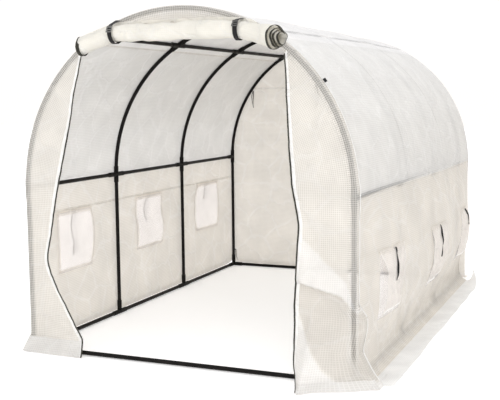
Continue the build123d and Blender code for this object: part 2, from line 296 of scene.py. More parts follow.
crease_group, inlet, outlet = new_group(
    "film_creases",
    [("Vector", "NodeSocketVector", None), ("Scale", "NodeSocketFloat", 6.0)],
    [("Crease", "NodeSocketFloat"), ("Height", "NodeSocketFloat"), ("Cloud", "NodeSocketFloat")],
)
cloud = noise(crease_group, inlet.outputs["Vector"], inlet.outputs["Scale"], cloud_detail)
drift = calculate(crease_group, "MULTIPLY", cloud, crease_drift)
facets = crease_group.nodes.new("ShaderNodeTexVoronoi")
facets.feature = "DISTANCE_TO_EDGE"
drifted = calculate_vector(crease_group, "ADD", inlet.outputs["Vector"], drift)
wire(crease_group, drifted, facets.inputs["Vector"])
wire(crease_group, inlet.outputs["Scale"], facets.inputs["Scale"])
crease = ramp(crease_group, facets.outputs["Distance"], crease_width, 0.0)
crease_group.links.new(crease, outlet.inputs["Crease"])
relief = calculate(crease_group, "MULTIPLY_ADD", crease, crease_height, cloud)
crease_group.links.new(relief, outlet.inputs["Height"])
crease_group.links.new(cloud, outlet.inputs["Cloud"])
print("crease group of", len(crease_group.nodes), "nodes")

# %% Fine grain of paint and moulded plastic
patch_scale_share = 0.02
patch_detail = 4.0

grain_group, inlet, outlet = new_group(
    "fine_grain",
    [("Vector", "NodeSocketVector", None), ("Scale", "NodeSocketFloat", 900.0)],
    [("Grain", "NodeSocketFloat"), ("Patches", "NodeSocketFloat")],
)
patch_scale = calculate(grain_group, "MULTIPLY", inlet.outputs["Scale"], patch_scale_share)
grain = noise(grain_group, inlet.outputs["Vector"], inlet.outputs["Scale"])
patches = noise(grain_group, inlet.outputs["Vector"], patch_scale, patch_detail)
grain_group.links.new(grain, outlet.inputs["Grain"])
grain_group.links.new(patches, outlet.inputs["Patches"])
print("shader groups:", [group.name for group in bpy.data.node_groups])

# %% [markdown]
# ## Materials
# A sheet lets some of the light through, so it is a mix of a reflecting surface and a translucent one,
# with a little clear film between the threads. The light that comes through is slightly warmer. Where a
# sheet is pressed on a tube, more of its film is clear, so the dark tube shows between the threads as a
# dotted band. Where it lies double it is whiter, and on the lit slope of a fold this whiteness is painted
# highlight. In the shade under a fold it is painted browner, as painted shade. The meshes carry both as
# marks on their points, one for the tight places and one for the places that lie double, are lit or are
# shaded, and the materials read them. Scattering inside a solid could give such a glow too, but a sheet
# without thickness has no inside, so a translucent shader is the plain way.

# %% Helpers for materials
def new_material(name):
    """A node material and its surface shader and output."""
    material = bpy.data.materials.new(name)
    material.use_nodes = True
    nodes = material.node_tree.nodes
    return material, material.node_tree, nodes["Principled BSDF"], nodes["Material Output"]


def bump(tree, height, distance):
    """The normal of a bumped surface."""
    node = tree.nodes.new("ShaderNodeBump")
    node.inputs["Distance"].default_value = distance
    node.inputs["Strength"].default_value = 1.0
    wire(tree, height, node.inputs["Height"])
    return node.outputs["Normal"]


def point_mark(tree, label):
    """The value of a mark that a sheet carries on its points."""
    node = tree.nodes.new("ShaderNodeAttribute")
    node.attribute_name = label
    return node.outputs["Fac"]


def mix_shaders(tree, factor, first, second):
    """A shader node between two shader nodes."""
    node = tree.nodes.new("ShaderNodeMixShader")
    wire(tree, factor, node.inputs["Fac"])
    tree.links.new(first.outputs[0], node.inputs[1])
    tree.links.new(second.outputs[0], node.inputs[2])
    return node


print("helpers for materials ready")

# %% A woven, translucent sheet
light_tint = (1.0, 0.982, 0.964)
crease_white = (0.97, 0.97, 0.97, 1)
# The whiter colour is for sheet that lies double and painted highlight on a lit fold; the brown is painted
# shade under a fold.
double_and_lit_white = (0.97, 0.965, 0.955, 1)
shaded_thin_brown = (0.60, 0.56, 0.505, 1)
cloud_shade = 0.90
film_roughness = (0.34, 0.52)
film_ior = 1.48
thread_height = 0.06
thread_clear_share = 1 / 4
tight_thread_share = 1 / 8


def sheet_colour(tree, woven, from_middle, creases, folds, strips, double_and_light_share):
    """A sheet's colour: tinted by painted light strips, whiter where it lies double and lit, browner where
    shaded, paler on creases, a little cloudy.
    """
    for start, end, strip_colour, strip_share in strips:
        within = calculate(tree, "COMPARE", from_middle, (start + end) / 2, (end - start) / 2)
        woven = mix_colours(tree, calculate(tree, "MULTIPLY", within, strip_share), woven, strip_colour)
    # Painted light: whiter where the sheet lies double and on the lit slope of a fold, browner in the shade
    # under it.
    if double_and_light_share:
        light_and_layers = point_mark(tree, "doubled")
        whiter = calculate(tree, "MULTIPLY", light_and_layers, double_and_light_share, clamp=True)
        browner = calculate(tree, "MULTIPLY", light_and_layers, -double_and_light_share, clamp=True)
        woven = mix_colours(tree, whiter, woven, double_and_lit_white)
        woven = mix_colours(tree, browner, woven, shaded_thin_brown)
    on_crease = calculate(tree, "MULTIPLY", creases["Crease"], folds, clamp=True)
    paler = mix_colours(tree, on_crease, woven, crease_white)
    shade = ramp(tree, creases["Cloud"], 0.3, 0.75, cloud_shade, 1.0)
    node = tree.nodes.new("ShaderNodeVectorMath")
    node.operation = "SCALE"
    wire(tree, paler, node.inputs[0])
    wire(tree, shade, node.inputs["Scale"])
    return node.outputs[0]


def sheet_material(name, film, thread, crease_scale, through, clear, pitch=0.011, width=0.42, folds=0.22,
                   relief=0.006, tight_clear=0.0, strips=(), wall_through=None, double_and_light_share=0.0):
    """A woven sheet: film and thread colours, the share of light let through and the clear share.

    Where the sheet is tight on a tube, tight_clear is added to the clear share. Strips, (from, to, colour,
    share), are counted from the sheet's middle line and tint it; on the cover they are painted sky light and
    painted shade. The walls of the cover can let through another share. Where the sheet lies double it is
    whiter by the double share, partly as painted highlight on a lit fold, and where it hangs single in the
    shade under a fold it is painted browner by as much.
    """
    material, tree, surface, output = new_material(name)
    flat = tree.nodes.new("ShaderNodeTexCoord").outputs["UV"]
    weave = use_group(tree, thread_group, Vector=flat, Pitch=pitch, Width=width)
    creases = use_group(tree, crease_group, Vector=flat, Scale=crease_scale)
    flat_axes = tree.nodes.new("ShaderNodeSeparateXYZ")
    wire(tree, flat, flat_axes.inputs[0])
    from_middle = calculate(tree, "ABSOLUTE", flat_axes.outputs["X"])
    woven = mix_colours(tree, weave["Threads"], film, thread)
    colour = sheet_colour(tree, woven, from_middle, creases, folds, strips, double_and_light_share)
    height = calculate(tree, "MULTIPLY_ADD", weave["Height"], thread_height, creases["Height"])
    normal = bump(tree, height, relief)
    wire(tree, colour, surface.inputs["Base Color"])
    wire(tree, normal, surface.inputs["Normal"])
    wire(tree, ramp(tree, creases["Cloud"], 0.3, 0.7, *film_roughness), surface.inputs["Roughness"])
    surface.inputs["IOR"].default_value = film_ior
    glow = tree.nodes.new("ShaderNodeBsdfTranslucent")
    wire(tree, calculate_vector(tree, "MULTIPLY", colour, light_tint), glow.inputs["Color"])
    wire(tree, normal, glow.inputs["Normal"])
    if wall_through is not None:
        through = ramp(tree, from_middle, roof_purlin_arc, quarter_bow, through, wall_through)
    lit = mix_shaders(tree, through, surface, glow)
    opaque = ramp(tree, weave["Threads"], 0.0, 1.0, 1 - clear, 1 - clear * thread_clear_share)
    if tight_clear:
        film_share = ramp(tree, weave["Threads"], 0.0, 1.0, tight_clear, tight_clear * tight_thread_share)
        cleared = calculate(tree, "MULTIPLY", point_mark(tree, "tight"), film_share)
        opaque = calculate(tree, "SUBTRACT", opaque, cleared)
    body = mix_shaders(tree, opaque, tree.nodes.new("ShaderNodeBsdfTransparent"), lit)
    tree.links.new(body.outputs[0], output.inputs["Surface"])
    return material


print("film roughness from", film_roughness[0], "to", film_roughness[1])

# %% Make the sheets' materials
skirt_turn = 0.03
past_skirt = 1.0
skirt_start = wall_arc_length + skirt_turn
skirt_end = skirt_start + past_skirt
# Painted light on the cover: the roof strip is paler and bluer, as painted sky light, the shoulder strips are
# greyer, as painted shade, and the flat skirt is bluish white, as painted sky light. The roof and shoulder
# strips meet at the real roof seam.
cover_painted_light_strips = [
    (0.0, roof_seam_arc, (0.93, 0.945, 0.98, 1), 0.55),
    (roof_seam_arc, quarter_bow, (0.78, 0.81, 0.84, 1), 0.45),
    (skirt_start, skirt_end, (0.94, 0.955, 0.965, 1), 0.75),
]
end_film = (0.78, 0.745, 0.685, 1)
hem_film = (0.95, 0.935, 0.905, 1)
hem_thread = (0.975, 0.965, 0.945, 1)

cover_sheet = sheet_material(
    "cover_sheet", (0.76, 0.72, 0.655, 1), (0.885, 0.855, 0.80, 1), 5.0, through=0.05, clear=0.08,
    tight_clear=0.35, strips=cover_painted_light_strips, wall_through=0.42)
rear_film = sheet_material(
    "rear_film", end_film, (0.90, 0.87, 0.815, 1), 5.0, through=0.44, clear=0.08)
front_sheet = sheet_material(
    "front_sheet", end_film, (0.91, 0.885, 0.835, 1), 5.0, through=0.32, clear=0.10,
    tight_clear=0.36, double_and_light_share=0.6, folds=0.13)
foot_hem = sheet_material(
    "foot_hem", (0.80, 0.785, 0.755, 1), (0.88, 0.865, 0.84, 1), 9.0, through=0.25, clear=0.05)
door_sheet = sheet_material(
    "door_sheet", (0.96, 0.935, 0.86, 1), (0.975, 0.96, 0.90, 1), 8.0, through=0.3, clear=0.02)
flap_sheet = sheet_material(
    "flap_sheet", (0.97, 0.945, 0.91, 1), (0.985, 0.97, 0.945, 1), 8.0, through=0.66, clear=0.22)
net_sheet = sheet_material(
    "window_net", (0.965, 0.935, 0.94, 1), (0.985, 0.965, 0.965, 1), 4.0, through=0.55, clear=0.62,
    pitch=0.0015, width=0.6, folds=0.05, relief=0.0004)
hem_sheet = sheet_material("hem_sheet", hem_film, hem_thread, 14.0, through=0.12, clear=0.0)
tape_sheet = sheet_material("tape_sheet", hem_film, hem_thread, 14.0, through=0.85, clear=0.35)
print("materials so far:", len(bpy.data.materials))

# %% Make the paints, plastics and tapes
roughness_spread = 0.08
grain_height = 0.0002
rib_height = 0.0004


def hard_material(name, colour, patch_colour, roughness, grain=900.0):
    """Paint or moulded plastic with a fine grain and slightly different patches."""
    material, tree, surface, output = new_material(name)
    place = tree.nodes.new("ShaderNodeTexCoord").outputs["Object"]
    speckle = use_group(tree, grain_group, Vector=place, Scale=grain)
    patches = ramp(tree, speckle["Patches"], 0.4, 0.7)
    wire(tree, mix_colours(tree, patches, colour, patch_colour), surface.inputs["Base Color"])
    smoothest, roughest = roughness - roughness_spread, roughness + roughness_spread
    uneven = ramp(tree, speckle["Patches"], 0.3, 0.7, smoothest, roughest)
    wire(tree, uneven, surface.inputs["Roughness"])
    wire(tree, bump(tree, speckle["Grain"], grain_height), surface.inputs["Normal"])
    surface.inputs["Specular IOR Level"].default_value = 0.12
    return material


def webbing_material(name, colour, rib_colour, pitch):
    """Woven tape with ribs along it and a fine cross weave."""
    material, tree, surface, output = new_material(name)
    flat = tree.nodes.new("ShaderNodeTexCoord").outputs["UV"]
    weave = use_group(tree, thread_group, Vector=flat, Pitch=pitch, Width=0.8)
    wire(tree, mix_colours(tree, weave["Threads"], colour, rib_colour), surface.inputs["Base Color"])
    wire(tree, bump(tree, weave["Height"], rib_height), surface.inputs["Normal"])
    surface.inputs["Roughness"].default_value = 0.75
    surface.inputs["Sheen Weight"].default_value = 0.04
    surface.inputs["Specular IOR Level"].default_value = 0.2
    return material


tube_paint = hard_material("tube_paint", (0.006, 0.005, 0.0045, 1), (0.012, 0.010, 0.009, 1), 0.46)
fitting_paint = hard_material(
    "fitting_paint", (0.005, 0.0045, 0.004, 1), (0.010, 0.009, 0.008, 1), 0.5, 700.0)
buckle_plastic = hard_material("buckle_plastic", (0.13, 0.13, 0.125, 1), (0.22, 0.22, 0.21, 1), 0.32, 500.0)
zip_plastic = hard_material("zip_plastic", (0.060, 0.057, 0.045, 1), (0.09, 0.085, 0.068, 1), 0.45, 1500.0)
thread_white = hard_material("thread_white", (0.80, 0.80, 0.78, 1), (0.88, 0.88, 0.86, 1), 0.7, 3000.0)
webbing = webbing_material("webbing", (0.007, 0.0065, 0.007, 1), (0.020, 0.019, 0.020, 1), 0.0022)
zip_tape = webbing_material("zip_tape", (0.018, 0.018, 0.012, 1), (0.050, 0.047, 0.037, 1), 0.0012)
print("materials:", len(bpy.data.materials))

# %% Paint the frame
tube_endings = ("_legs", "_bows", "_rail", "_purlin")
fitting_endings = ("_corners", "_tees", "_crosses")
painted = 0
for node_name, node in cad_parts.items():
    paint = tube_paint if node_name.endswith(tube_endings) else fitting_paint
    if node_name.endswith(tube_endings + fitting_endings):
        for material_slot in node.material_slots:
            material_slot.link = "OBJECT"
            material_slot.material = paint
        painted += 1
print("painted nodes:", painted)

# %% [markdown]
# ## Sheets as grids
# Every sheet here is a grid of points, one layer thick, with its flat coordinates in metres beside
# them. A loose sheet is never quite smooth, and a sum of a few waves with fixed random headings gives
# it soft, repeatable ripples. A cloth simulation could drape a sheet, but a shape that is written down
# comes out the same on every run.

# %% Helpers for the shape of a sheet
def smooth_step(value, low, high):
    """Rises smoothly from 0 at low to 1 at high."""
    share = np.clip((value - low) / (high - low), 0, 1)
    return share * share * (3 - 2 * share)


def ripples(across, along, seed, shortest, longest, waves=12):
    """A smooth field of about unit height: waves between two lengths, with fixed random headings."""
    draw = np.random.default_rng(seed)
    field = np.zeros(np.broadcast(across, along).shape)
    for wave in range(waves):
        heading = draw.uniform(0, 2 * math.pi)
        phase = draw.uniform(0, 2 * math.pi)
        length = shortest * (longest / shortest) ** draw.uniform(0, 1)
        travel = across * math.cos(heading) + along * math.sin(heading)
        field += np.cos(2 * math.pi * travel / length + phase)
    return field / math.sqrt(waves / 2)


def rippled(across, along, looks):
    """The sum of several ripples, (height, seed, shortest, longest) each."""
    return sum(height * ripples(across, along, *look) for height, *look in looks)


def ridge(across, level, start, end, height, width):
    """A sharp fold that stands out along a line, fading at its ends."""
    run = np.array(end) - np.array(start)
    length = math.hypot(*run)
    along = ((across - start[0]) * run[0] + (level - start[1]) * run[1]) / length
    aside = ((across - start[0]) * run[1] - (level - start[1]) * run[0]) / length
    fade = smooth_step(along, -0.3 * length, 0.1 * length) * smooth_step(-along, -1.3 * length, -0.9 * length)
    return height * fade * np.exp(-np.abs(aside) / width)


def on_line(value, line):
    """The value of a line that is given by its corners, (place, value) each."""
    return np.interp(value, *zip(*line))


def spaced(marks, step):
    """Values that pass through all the marks, no further apart than the step."""
    values = [marks[0]]
    for near, far in zip(marks, marks[1:]):
        pieces = max(1, math.ceil((far - near) / step))
        values.extend(near + (far - near) * (np.arange(pieces) + 1) / pieces)
    return np.array(values)


def stacked(*values):
    """The values side by side on a last axis, all spread over the same grid."""
    return np.stack(np.broadcast_arrays(*values), axis=-1)


print("ripples of unit height reach", round(float(ripples(np.linspace(0, 1, 99), 0, 1, 0.1, 0.5).max()), 2))

# %% Helpers that make a sheet's mesh
def add_piece(name, mesh):
    """An object for a mesh, on the part's one body."""
    obj = bpy.data.objects.new(name, mesh)
    scene.collection.objects.link(obj)
    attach(obj, "root")
    return obj


def grid_corners(grid, first=0):
    """The four corners of each cell of a grid whose points are numbered row by row."""
    rows, columns = grid.shape[:2]
    index = np.arange(rows * columns).reshape(rows, columns) + first
    return np.stack([index[:-1, :-1], index[:-1, 1:], index[1:, 1:], index[1:, :-1]], axis=-1)


def cloth_mesh(name, points, faces, flat, material):
    """A smooth mesh from points, faces with four corners, and the flat place of each point."""
    mesh = bpy.data.meshes.new(name)
    mesh.from_pydata(points.tolist(), [], faces.tolist())
    layer = mesh.uv_layers.new(name="cloth")
    layer.data.foreach_set("uv", flat[faces.ravel()].astype(np.float32).ravel())
    mesh.polygons.foreach_set("use_smooth", np.ones(len(faces), dtype=bool))
    mesh.materials.append(material)
    return mesh


def grid_sheet(name, points, flat, material, keep=None, flip=False, **marks):
    """A piece from a grid of points (rows, columns, 3), with flat coordinates (rows, columns, 2) in metres.

    Each of the marks, (rows, columns), becomes an attribute of the points, for the material to read.
    """
    corners = grid_corners(points)
    corners = corners.reshape(-1, 4) if keep is None else corners[keep]
    if flip:
        corners = corners[:, ::-1]
    used, faces = np.unique(corners, return_inverse=True)
    used_points, used_flat = points.reshape(-1, 3)[used], flat.reshape(-1, 2)[used]
    mesh = cloth_mesh(name, used_points, faces.reshape(-1, 4), used_flat, material)
    for label, values in marks.items():
        attribute = mesh.attributes.new(label, "FLOAT", "POINT")
        attribute.data.foreach_set("value", values.ravel()[used].astype(np.float32))
    return add_piece(name, mesh)


def join_grids(name, grids, material):
    """One piece from several grids, (points, flat) each."""
    points, faces, flats = [], [], []
    first = 0
    for grid, flat in grids:
        faces.append(grid_corners(grid, first).reshape(-1, 4))
        points.append(grid.reshape(-1, 3))
        flats.append(flat.reshape(-1, 2))
        first += len(points[-1])
    joined = [np.concatenate(values) for values in (points, faces, flats)]
    return add_piece(name, cloth_mesh(name, *joined, material))


print("helpers for sheets ready")

# %% [markdown]
# ## Tunnel cover
# The cover is sewn from strips, pulled over the hoops and left loose at its foot, where it turns out on
# the ground as a skirt. It touches the tubes and the fatter fittings, sags between them on the roof,
# and the right wall bellies out and leans. The left wall is pulled along here and there, so that its
# windows are not quite square. One function gives every point on the cover, so that the windows, seams
# and stitches can use the same surface later.

# %% Sizes of the cover
cover_gap = 0.0012
ground_gap = 0.0025
skirt_bend = 0.075
seam_setback = 0.045
base_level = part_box("right_base_rail")[0][2] + tube_radius
tube_cover = tube_radius + cover_gap
bend_start = spring_level - skirt_bend - ground_gap
bend_end = bend_start + skirt_bend * math.pi / 2
skirt_flat = skirt_edge - bow_radius - tube_cover - skirt_bend
cover_half = quarter_bow + bend_end + skirt_flat
tunnel_length = rear_place - front_place


def wall_arc(level):
    """The arc length from the ridge down to a level on the straight wall."""
    return quarter_bow + spring_level - level


def bay_share(along):
    """0 at a hoop and 1 in the middle of a bay."""
    return np.sin(math.pi * (along - front_place) / bay_length) ** 2


print(f"cover {2 * cover_half:.2f} m from edge to edge, skirts {skirt_flat:.3f} m flat")

# %% How the cover stands off its tubes
roof_sag = 0.013
wall_swells = {"left": 0.012, "right": 0.092}
right_lean = 0.062
cover_ripples = [(0.0035, 3, 0.25, 0.8), (0.0012, 4, 0.06, 0.2)]
wall_folds = [
    ((-1.40, 0.98), (-0.55, 0.30), 0.010, 0.035),
    ((-0.42, 0.95), (-0.30, 0.25), 0.009, 0.030),
    ((0.40, 0.30), (1.05, 0.70), 0.010, 0.035),
    ((0.60, 0.95), (1.40, 0.45), 0.012, 0.040),
    ((-1.38, 0.25), (-0.85, 0.12), 0.008, 0.030),
]
fitting_bump = sleeve_radius - tube_radius
sleeve_width = 0.03
sleeve_spots = [
    (roof_purlin_arc, 0.075, 0.11),
    (quarter_bow, 0.075, 0.11),
    (wall_arc(base_level), 0.10, 0.10),
]


def cover_lean(arc, along):
    """How far the slack right side stands out from the hoops, more towards the rear."""
    length_share = np.clip((along - front_place) / tunnel_length, 0, 1)
    round_share = np.sin(np.clip(arc / bow_radius, 0, math.pi / 2)) ** 1.5
    above_foot = 1 - smooth_step(arc - quarter_bow, 0.5, bend_start)
    return right_lean * smooth_step(length_share, 0.02, 0.7) * round_share * above_foot


def fitting_share(reach, along):
    """1 over the sleeves of the fittings, along the hoop and along the purlin or rail, and else 0."""
    share = np.zeros(np.broadcast(reach, along).shape)
    for centre, hoop_reach, side_reach in sleeve_spots:
        far_arc = np.abs(reach - centre)
        for place in hoop_places:
            far_along = np.abs(along - place)
            hoop_sleeve = np.exp(-((far_arc / hoop_reach) ** 4) - (far_along / sleeve_width) ** 4)
            side_sleeve = np.exp(-((far_arc / sleeve_width) ** 4) - (far_along / side_reach) ** 4)
            share = np.maximum(share, np.maximum(hoop_sleeve, side_sleeve))
    return share


def cover_offset(arc, along):
    """How far the cover lies outside the centreline of the tubes."""
    reach = np.abs(arc)
    crown = np.cos(math.pi / 2 * np.clip(reach / roof_purlin_arc, 0, 1)) ** 2
    shoulder_share = np.clip((reach - roof_purlin_arc) / (quarter_bow - roof_purlin_arc), 0, 1)
    shoulder = np.sin(math.pi * shoulder_share) ** 2
    wall = np.sin(math.pi * np.clip((reach - quarter_bow) / bend_start, 0, 1))
    past_seam = np.clip((along - front_place - seam_setback) / (tunnel_length - seam_setback), 0, 1)
    ends = np.sin(math.pi * past_seam) ** 0.65
    swell = np.where(arc > 0, wall_swells["right"], wall_swells["left"]) * ends * wall
    sag = -roof_sag * bay_share(along) * np.maximum(crown, shoulder)
    loose = np.sqrt(bay_share(along)) * np.maximum(np.maximum(crown, shoulder), wall)
    soft = loose * rippled(arc, along, cover_ripples)
    bumps = fitting_bump * fitting_share(reach, along)
    folds = sum(ridge(along, wall_arc(0) - arc, *fold) for fold in wall_folds) * wall * ends * (arc > 0)
    return tube_cover + bumps + sag + swell + folds + cover_lean(arc, along) + soft


print(f"cover stands {float(cover_offset(quarter_bow + 0.5, 0.0)):.3f} m out at the middle of the right wall")

# %% Points on the cover
skirt_wave = 0.004
skirt_ripple = (8, 0.25, 0.8)
curl_length = 0.36
curl_turn = math.radians(66)
left_tuck_share = 0.85
left_tuck_length = 0.6
window_pulls = [(0, 1, 0.050, 1), (1, 0, 0.050, 2), (1, 1, 0.020, 1), (2, -1, -0.045, 1), (2, 1, 0.022, 1)]
pull_reach = 0.16
window_height = window_heads["left"] - window_sills["left"]


def cover_section(arc, offset):
    """Across and up, for an arc length from the ridge and an offset from the tubes' centreline."""
    angle = np.clip(arc / bow_radius, -math.pi / 2, math.pi / 2)
    below = np.maximum(np.abs(arc) - quarter_bow, 0)
    bend = np.clip((below - bend_start) / skirt_bend, 0, math.pi / 2)
    flat = np.maximum(below - bend_end, 0)
    outwards = skirt_bend * (1 - np.cos(bend)) + flat
    drop = np.minimum(below, bend_start) + skirt_bend * np.sin(bend)
    across = np.sin(angle) * (bow_radius + offset) + np.sign(arc) * outwards
    level = spring_level + np.cos(angle) * (bow_radius + offset) - drop
    return across, level


def window_pull(arc, along):
    """How far the slack left wall is pulled along: (bay, edge of the window, reach, half waves) each."""
    share = np.clip((wall_arc(window_sills["left"]) + arc) / window_height, 0, 1)
    pull = 0
    for bay, edge, reach, waves in window_pulls:
        aside = along - bay_places[bay] - edge * window_half
        pull = pull + reach * np.sin(waves * math.pi * share) * np.exp(-((aside / pull_reach) ** 2))
    return np.where(arc < 0, pull, 0)


def cover_points(arc, along, lift=0.0):
    """Points on the cover, lifted off it by a little."""
    arc, along = np.broadcast_arrays(np.asarray(arc, float), np.asarray(along, float))
    across, level = cover_section(arc, cover_offset(arc, along) + lift)
    flat = np.maximum(np.abs(arc) - quarter_bow - bend_end, 0) / skirt_flat
    run = flat * skirt_flat
    wave = skirt_wave * flat * (1 + ripples(arc, along, *skirt_ripple))
    curl = np.where(arc > 0, smooth_step(along, rear_place - curl_length, rear_place), 0) * curl_turn
    in_tuck = 1 - smooth_step(along, front_place, front_place + left_tuck_length)
    tucked = np.where(arc < 0, left_tuck_share * in_tuck, 0)
    across = across - np.sign(arc) * run * (1 - np.cos(curl * np.sqrt(flat)) + tucked)
    level = level + run * np.sin(curl * np.sqrt(flat)) + np.maximum(wave, 0)
    return np.stack([across, along + window_pull(arc, along), np.maximum(level, ground_gap + lift)], axis=-1)


print("ridge of the cover at", [round(float(value), 3) for value in cover_points(0, 0)])

# %% Lines of the cover's grid
cover_step = 0.018
press_fade = 0.006
press_marks = np.array([-tube_radius - press_fade, -tube_radius, tube_radius, tube_radius + press_fade])
arc_marks = [0]
for side, sign in side_signs.items():
    marks = [roof_seam_arc, quarter_bow + bend_start, quarter_bow + bend_end, cover_half]
    marks += [*(roof_purlin_arc + press_marks), *(quarter_bow + press_marks)]
    marks += [wall_arc(levels[side]) for levels in (seam_levels, window_heads, window_sills)]
    arc_marks += [sign * mark for mark in marks]
along_marks = [front_place + seam_setback, *hoop_places[1:]]
for place in hoop_places[1:]:
    along_marks += [edge for edge in place + press_marks if edge < rear_place]
for place in bay_places:
    along_marks += [place - window_half, place + window_half]
arc_lines = spaced(sorted(arc_marks), cover_step)
along_lines = spaced(sorted(along_marks), cover_step)
arcs, alongs = np.meshgrid(arc_lines, along_lines)
print("cover grid of", len(arc_lines), "by", len(along_lines), "lines")

# %% Wrap the cover round the rear hoop
wrap_angles = np.radians([22.5, 45, 67.5, 90])
cover_grid = cover_points(arcs, alongs)
edge_lean = cover_lean(arc_lines, rear_place)
edge_offset = cover_offset(arc_lines, rear_place) - edge_lean
on_skirt = np.abs(arc_lines) - quarter_bow - bend_start > 0
wrap_rows = []
for wrap_angle in wrap_angles:
    across, level = cover_section(arc_lines, edge_lean + edge_offset * math.cos(wrap_angle))
    row = np.stack([across, rear_place + edge_offset * math.sin(wrap_angle), level], axis=-1)
    row[on_skirt] = cover_grid[-1][on_skirt]
    row[on_skirt, 1] += edge_offset[on_skirt] * math.sin(wrap_angle)
    wrap_rows.append(row)
cover_grid = np.concatenate([cover_grid, np.stack(wrap_rows)])
flat_along = np.concatenate([along_lines, rear_place + tube_cover * wrap_angles])
cover_flat = np.stack(np.meshgrid(arc_lines, flat_along), axis=-1)
print("rows round the rear hoop:", len(wrap_rows))

# %% Leave the windows open and mark the tight places
hoop_tight_share = 0.5
lean_loss_share = 0.6
cell_arc = (arcs[:-1, :-1] + arcs[1:, 1:]) / 2
cell_along = (alongs[:-1, :-1] + alongs[1:, 1:]) / 2
in_height = np.zeros(cell_arc.shape, dtype=bool)
for side, sign in side_signs.items():
    below_head = sign * cell_arc > wall_arc(window_heads[side])
    in_height |= below_head & (sign * cell_arc < wall_arc(window_sills[side]))
in_length = np.min([np.abs(cell_along - place) for place in bay_places], axis=0) < window_half
wrap_cells = np.ones((len(wrap_angles), cell_arc.shape[1]), dtype=bool)
cover_cells = np.concatenate([~(in_height & in_length), wrap_cells])

flat_arc, flat_length = np.abs(cover_flat[..., 0]), cover_flat[..., 1]
near_purlin = np.minimum(np.abs(flat_arc - quarter_bow), np.abs(flat_arc - roof_purlin_arc))
near_hoop = np.min([np.abs(flat_length - place) for place in hoop_places], axis=0)
tight_purlin = 1 - smooth_step(near_purlin, tube_radius, tube_radius + press_fade)
flat_lean = cover_lean(cover_flat[..., 0], flat_length)
tight_purlin = tight_purlin * (1 - lean_loss_share * smooth_step(flat_lean, 0.02, 0.05))
tight_hoop = hoop_tight_share * (1 - smooth_step(near_hoop, tube_radius, tube_radius + press_fade))
tight_hoop = tight_hoop * (1 - smooth_step(flat_arc, 0.75 * quarter_bow, quarter_bow))
cover_tight = np.maximum(tight_purlin, tight_hoop)
print("cells left open for windows:", int((~cover_cells).sum()))

# %% Make the tunnel cover
tunnel_cover = grid_sheet("tunnel_cover", cover_grid, cover_flat, cover_sheet, keep=cover_cells, flip=True,
                          tight=cover_tight)
cover_nodes = [f"{side}_{part}" for side in side_signs for part in ("wall_cover", "shoulder_cover", "skirt")]
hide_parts("roof_cover", *cover_nodes)

# %% [markdown]
# ## Rear sheet
# The rear end is closed by one hoop-shaped sheet in two strips, sewn to the cover round the rear hoop.
# It hangs straight, bellies a little, lies over the fittings of the rear hoop, and has a skirt of its
# own. Its columns stop at the hoop, so no edge has to be trimmed.

# %% Lines of the rear sheet
rear_columns = np.radians(np.linspace(-90, 90, 121))
rear_radius = bow_radius + cover_lean(bow_radius * rear_columns, rear_place)
rear_top = spring_level + rear_radius * np.cos(rear_columns)
foot_lines = spaced([0, skirt_flat, skirt_flat + skirt_bend * math.pi / 2], 0.02)
foot_turn = np.clip((foot_lines - skirt_flat) / skirt_bend, 0, math.pi / 2)
foot_out = skirt_flat - np.minimum(foot_lines, skirt_flat) + skirt_bend * (1 - np.sin(foot_turn))
foot_level = ground_gap + skirt_bend * (1 - np.cos(foot_turn))
hang_base = ground_gap + skirt_bend
hang_lines = np.linspace(0, 1, 84)[1:, None]
hang_levels = hang_base + hang_lines * (rear_top - hang_base)
foot_shape = (len(foot_lines), len(rear_columns))
rear_levels = np.concatenate([np.broadcast_to(foot_level[:, None], foot_shape), hang_levels])
rear_out = np.concatenate([np.broadcast_to(foot_out[:, None], foot_shape), np.zeros(hang_levels.shape)])
rear_across = np.broadcast_to(rear_radius * np.sin(rear_columns), rear_levels.shape)
print("rear grid of", rear_levels.shape[0], "by", rear_levels.shape[1], "points")

# %% Make the rear sheet
rear_swell = 0.016
rear_ripple_share = 0.35
rear_ripple = (21, 0.3, 0.9)
rear_fine_ripples = [(0.0012, 22, 0.06, 0.2)]
rear_skirt_wave = 0.010
rear_skirt_ripple = (23, 0.15, 0.4)
bump_fade = 0.06


def rear_softness(across, level, top):
    """How far the rear sheet bellies out behind the rear hoop, under the top of each column."""
    edge_gap = np.minimum(bow_radius - np.abs(across), np.maximum(top - level, 0))
    free = smooth_step(edge_gap, 0, 0.35) * smooth_step(level, hang_base, 0.5)
    swell = rear_swell * free * (1 + rear_ripple_share * ripples(across, level, *rear_ripple))
    return swell + free * rippled(across, level, rear_fine_ripples)


rear_height = np.maximum(rear_levels - spring_level, 0)
rear_angle = np.arctan2(rear_across, np.maximum(rear_height, 1e-6))
rear_arc = bow_radius * rear_angle + np.sign(rear_across) * np.maximum(spring_level - rear_levels, 0)
rear_lean = cover_lean(rear_arc, rear_place)
rear_distance = np.hypot(rear_across, rear_height)
near_tube = np.minimum(np.abs(bow_radius - rear_distance), bow_radius + rear_lean - rear_distance)
rear_bump = cover_offset(rear_arc, rear_place) - rear_lean - tube_cover
rear_bump = rear_bump * (1 - smooth_step(near_tube, sleeve_radius, sleeve_radius + bump_fade))
skirt_share = np.clip(rear_out / skirt_flat, 0, 1)
rear_lift = rear_skirt_wave * skirt_share * (1 + ripples(rear_across, rear_out, *rear_skirt_ripple))
rear_behind = rear_out + rear_softness(rear_across, rear_levels, rear_top) + rear_bump
rear_grid = np.stack([
    rear_across,
    rear_place + tube_cover + rear_behind,
    np.maximum(rear_levels + rear_lift, ground_gap),
], axis=-1)
rear_flat = np.stack([rear_across, rear_levels - rear_out], axis=-1)
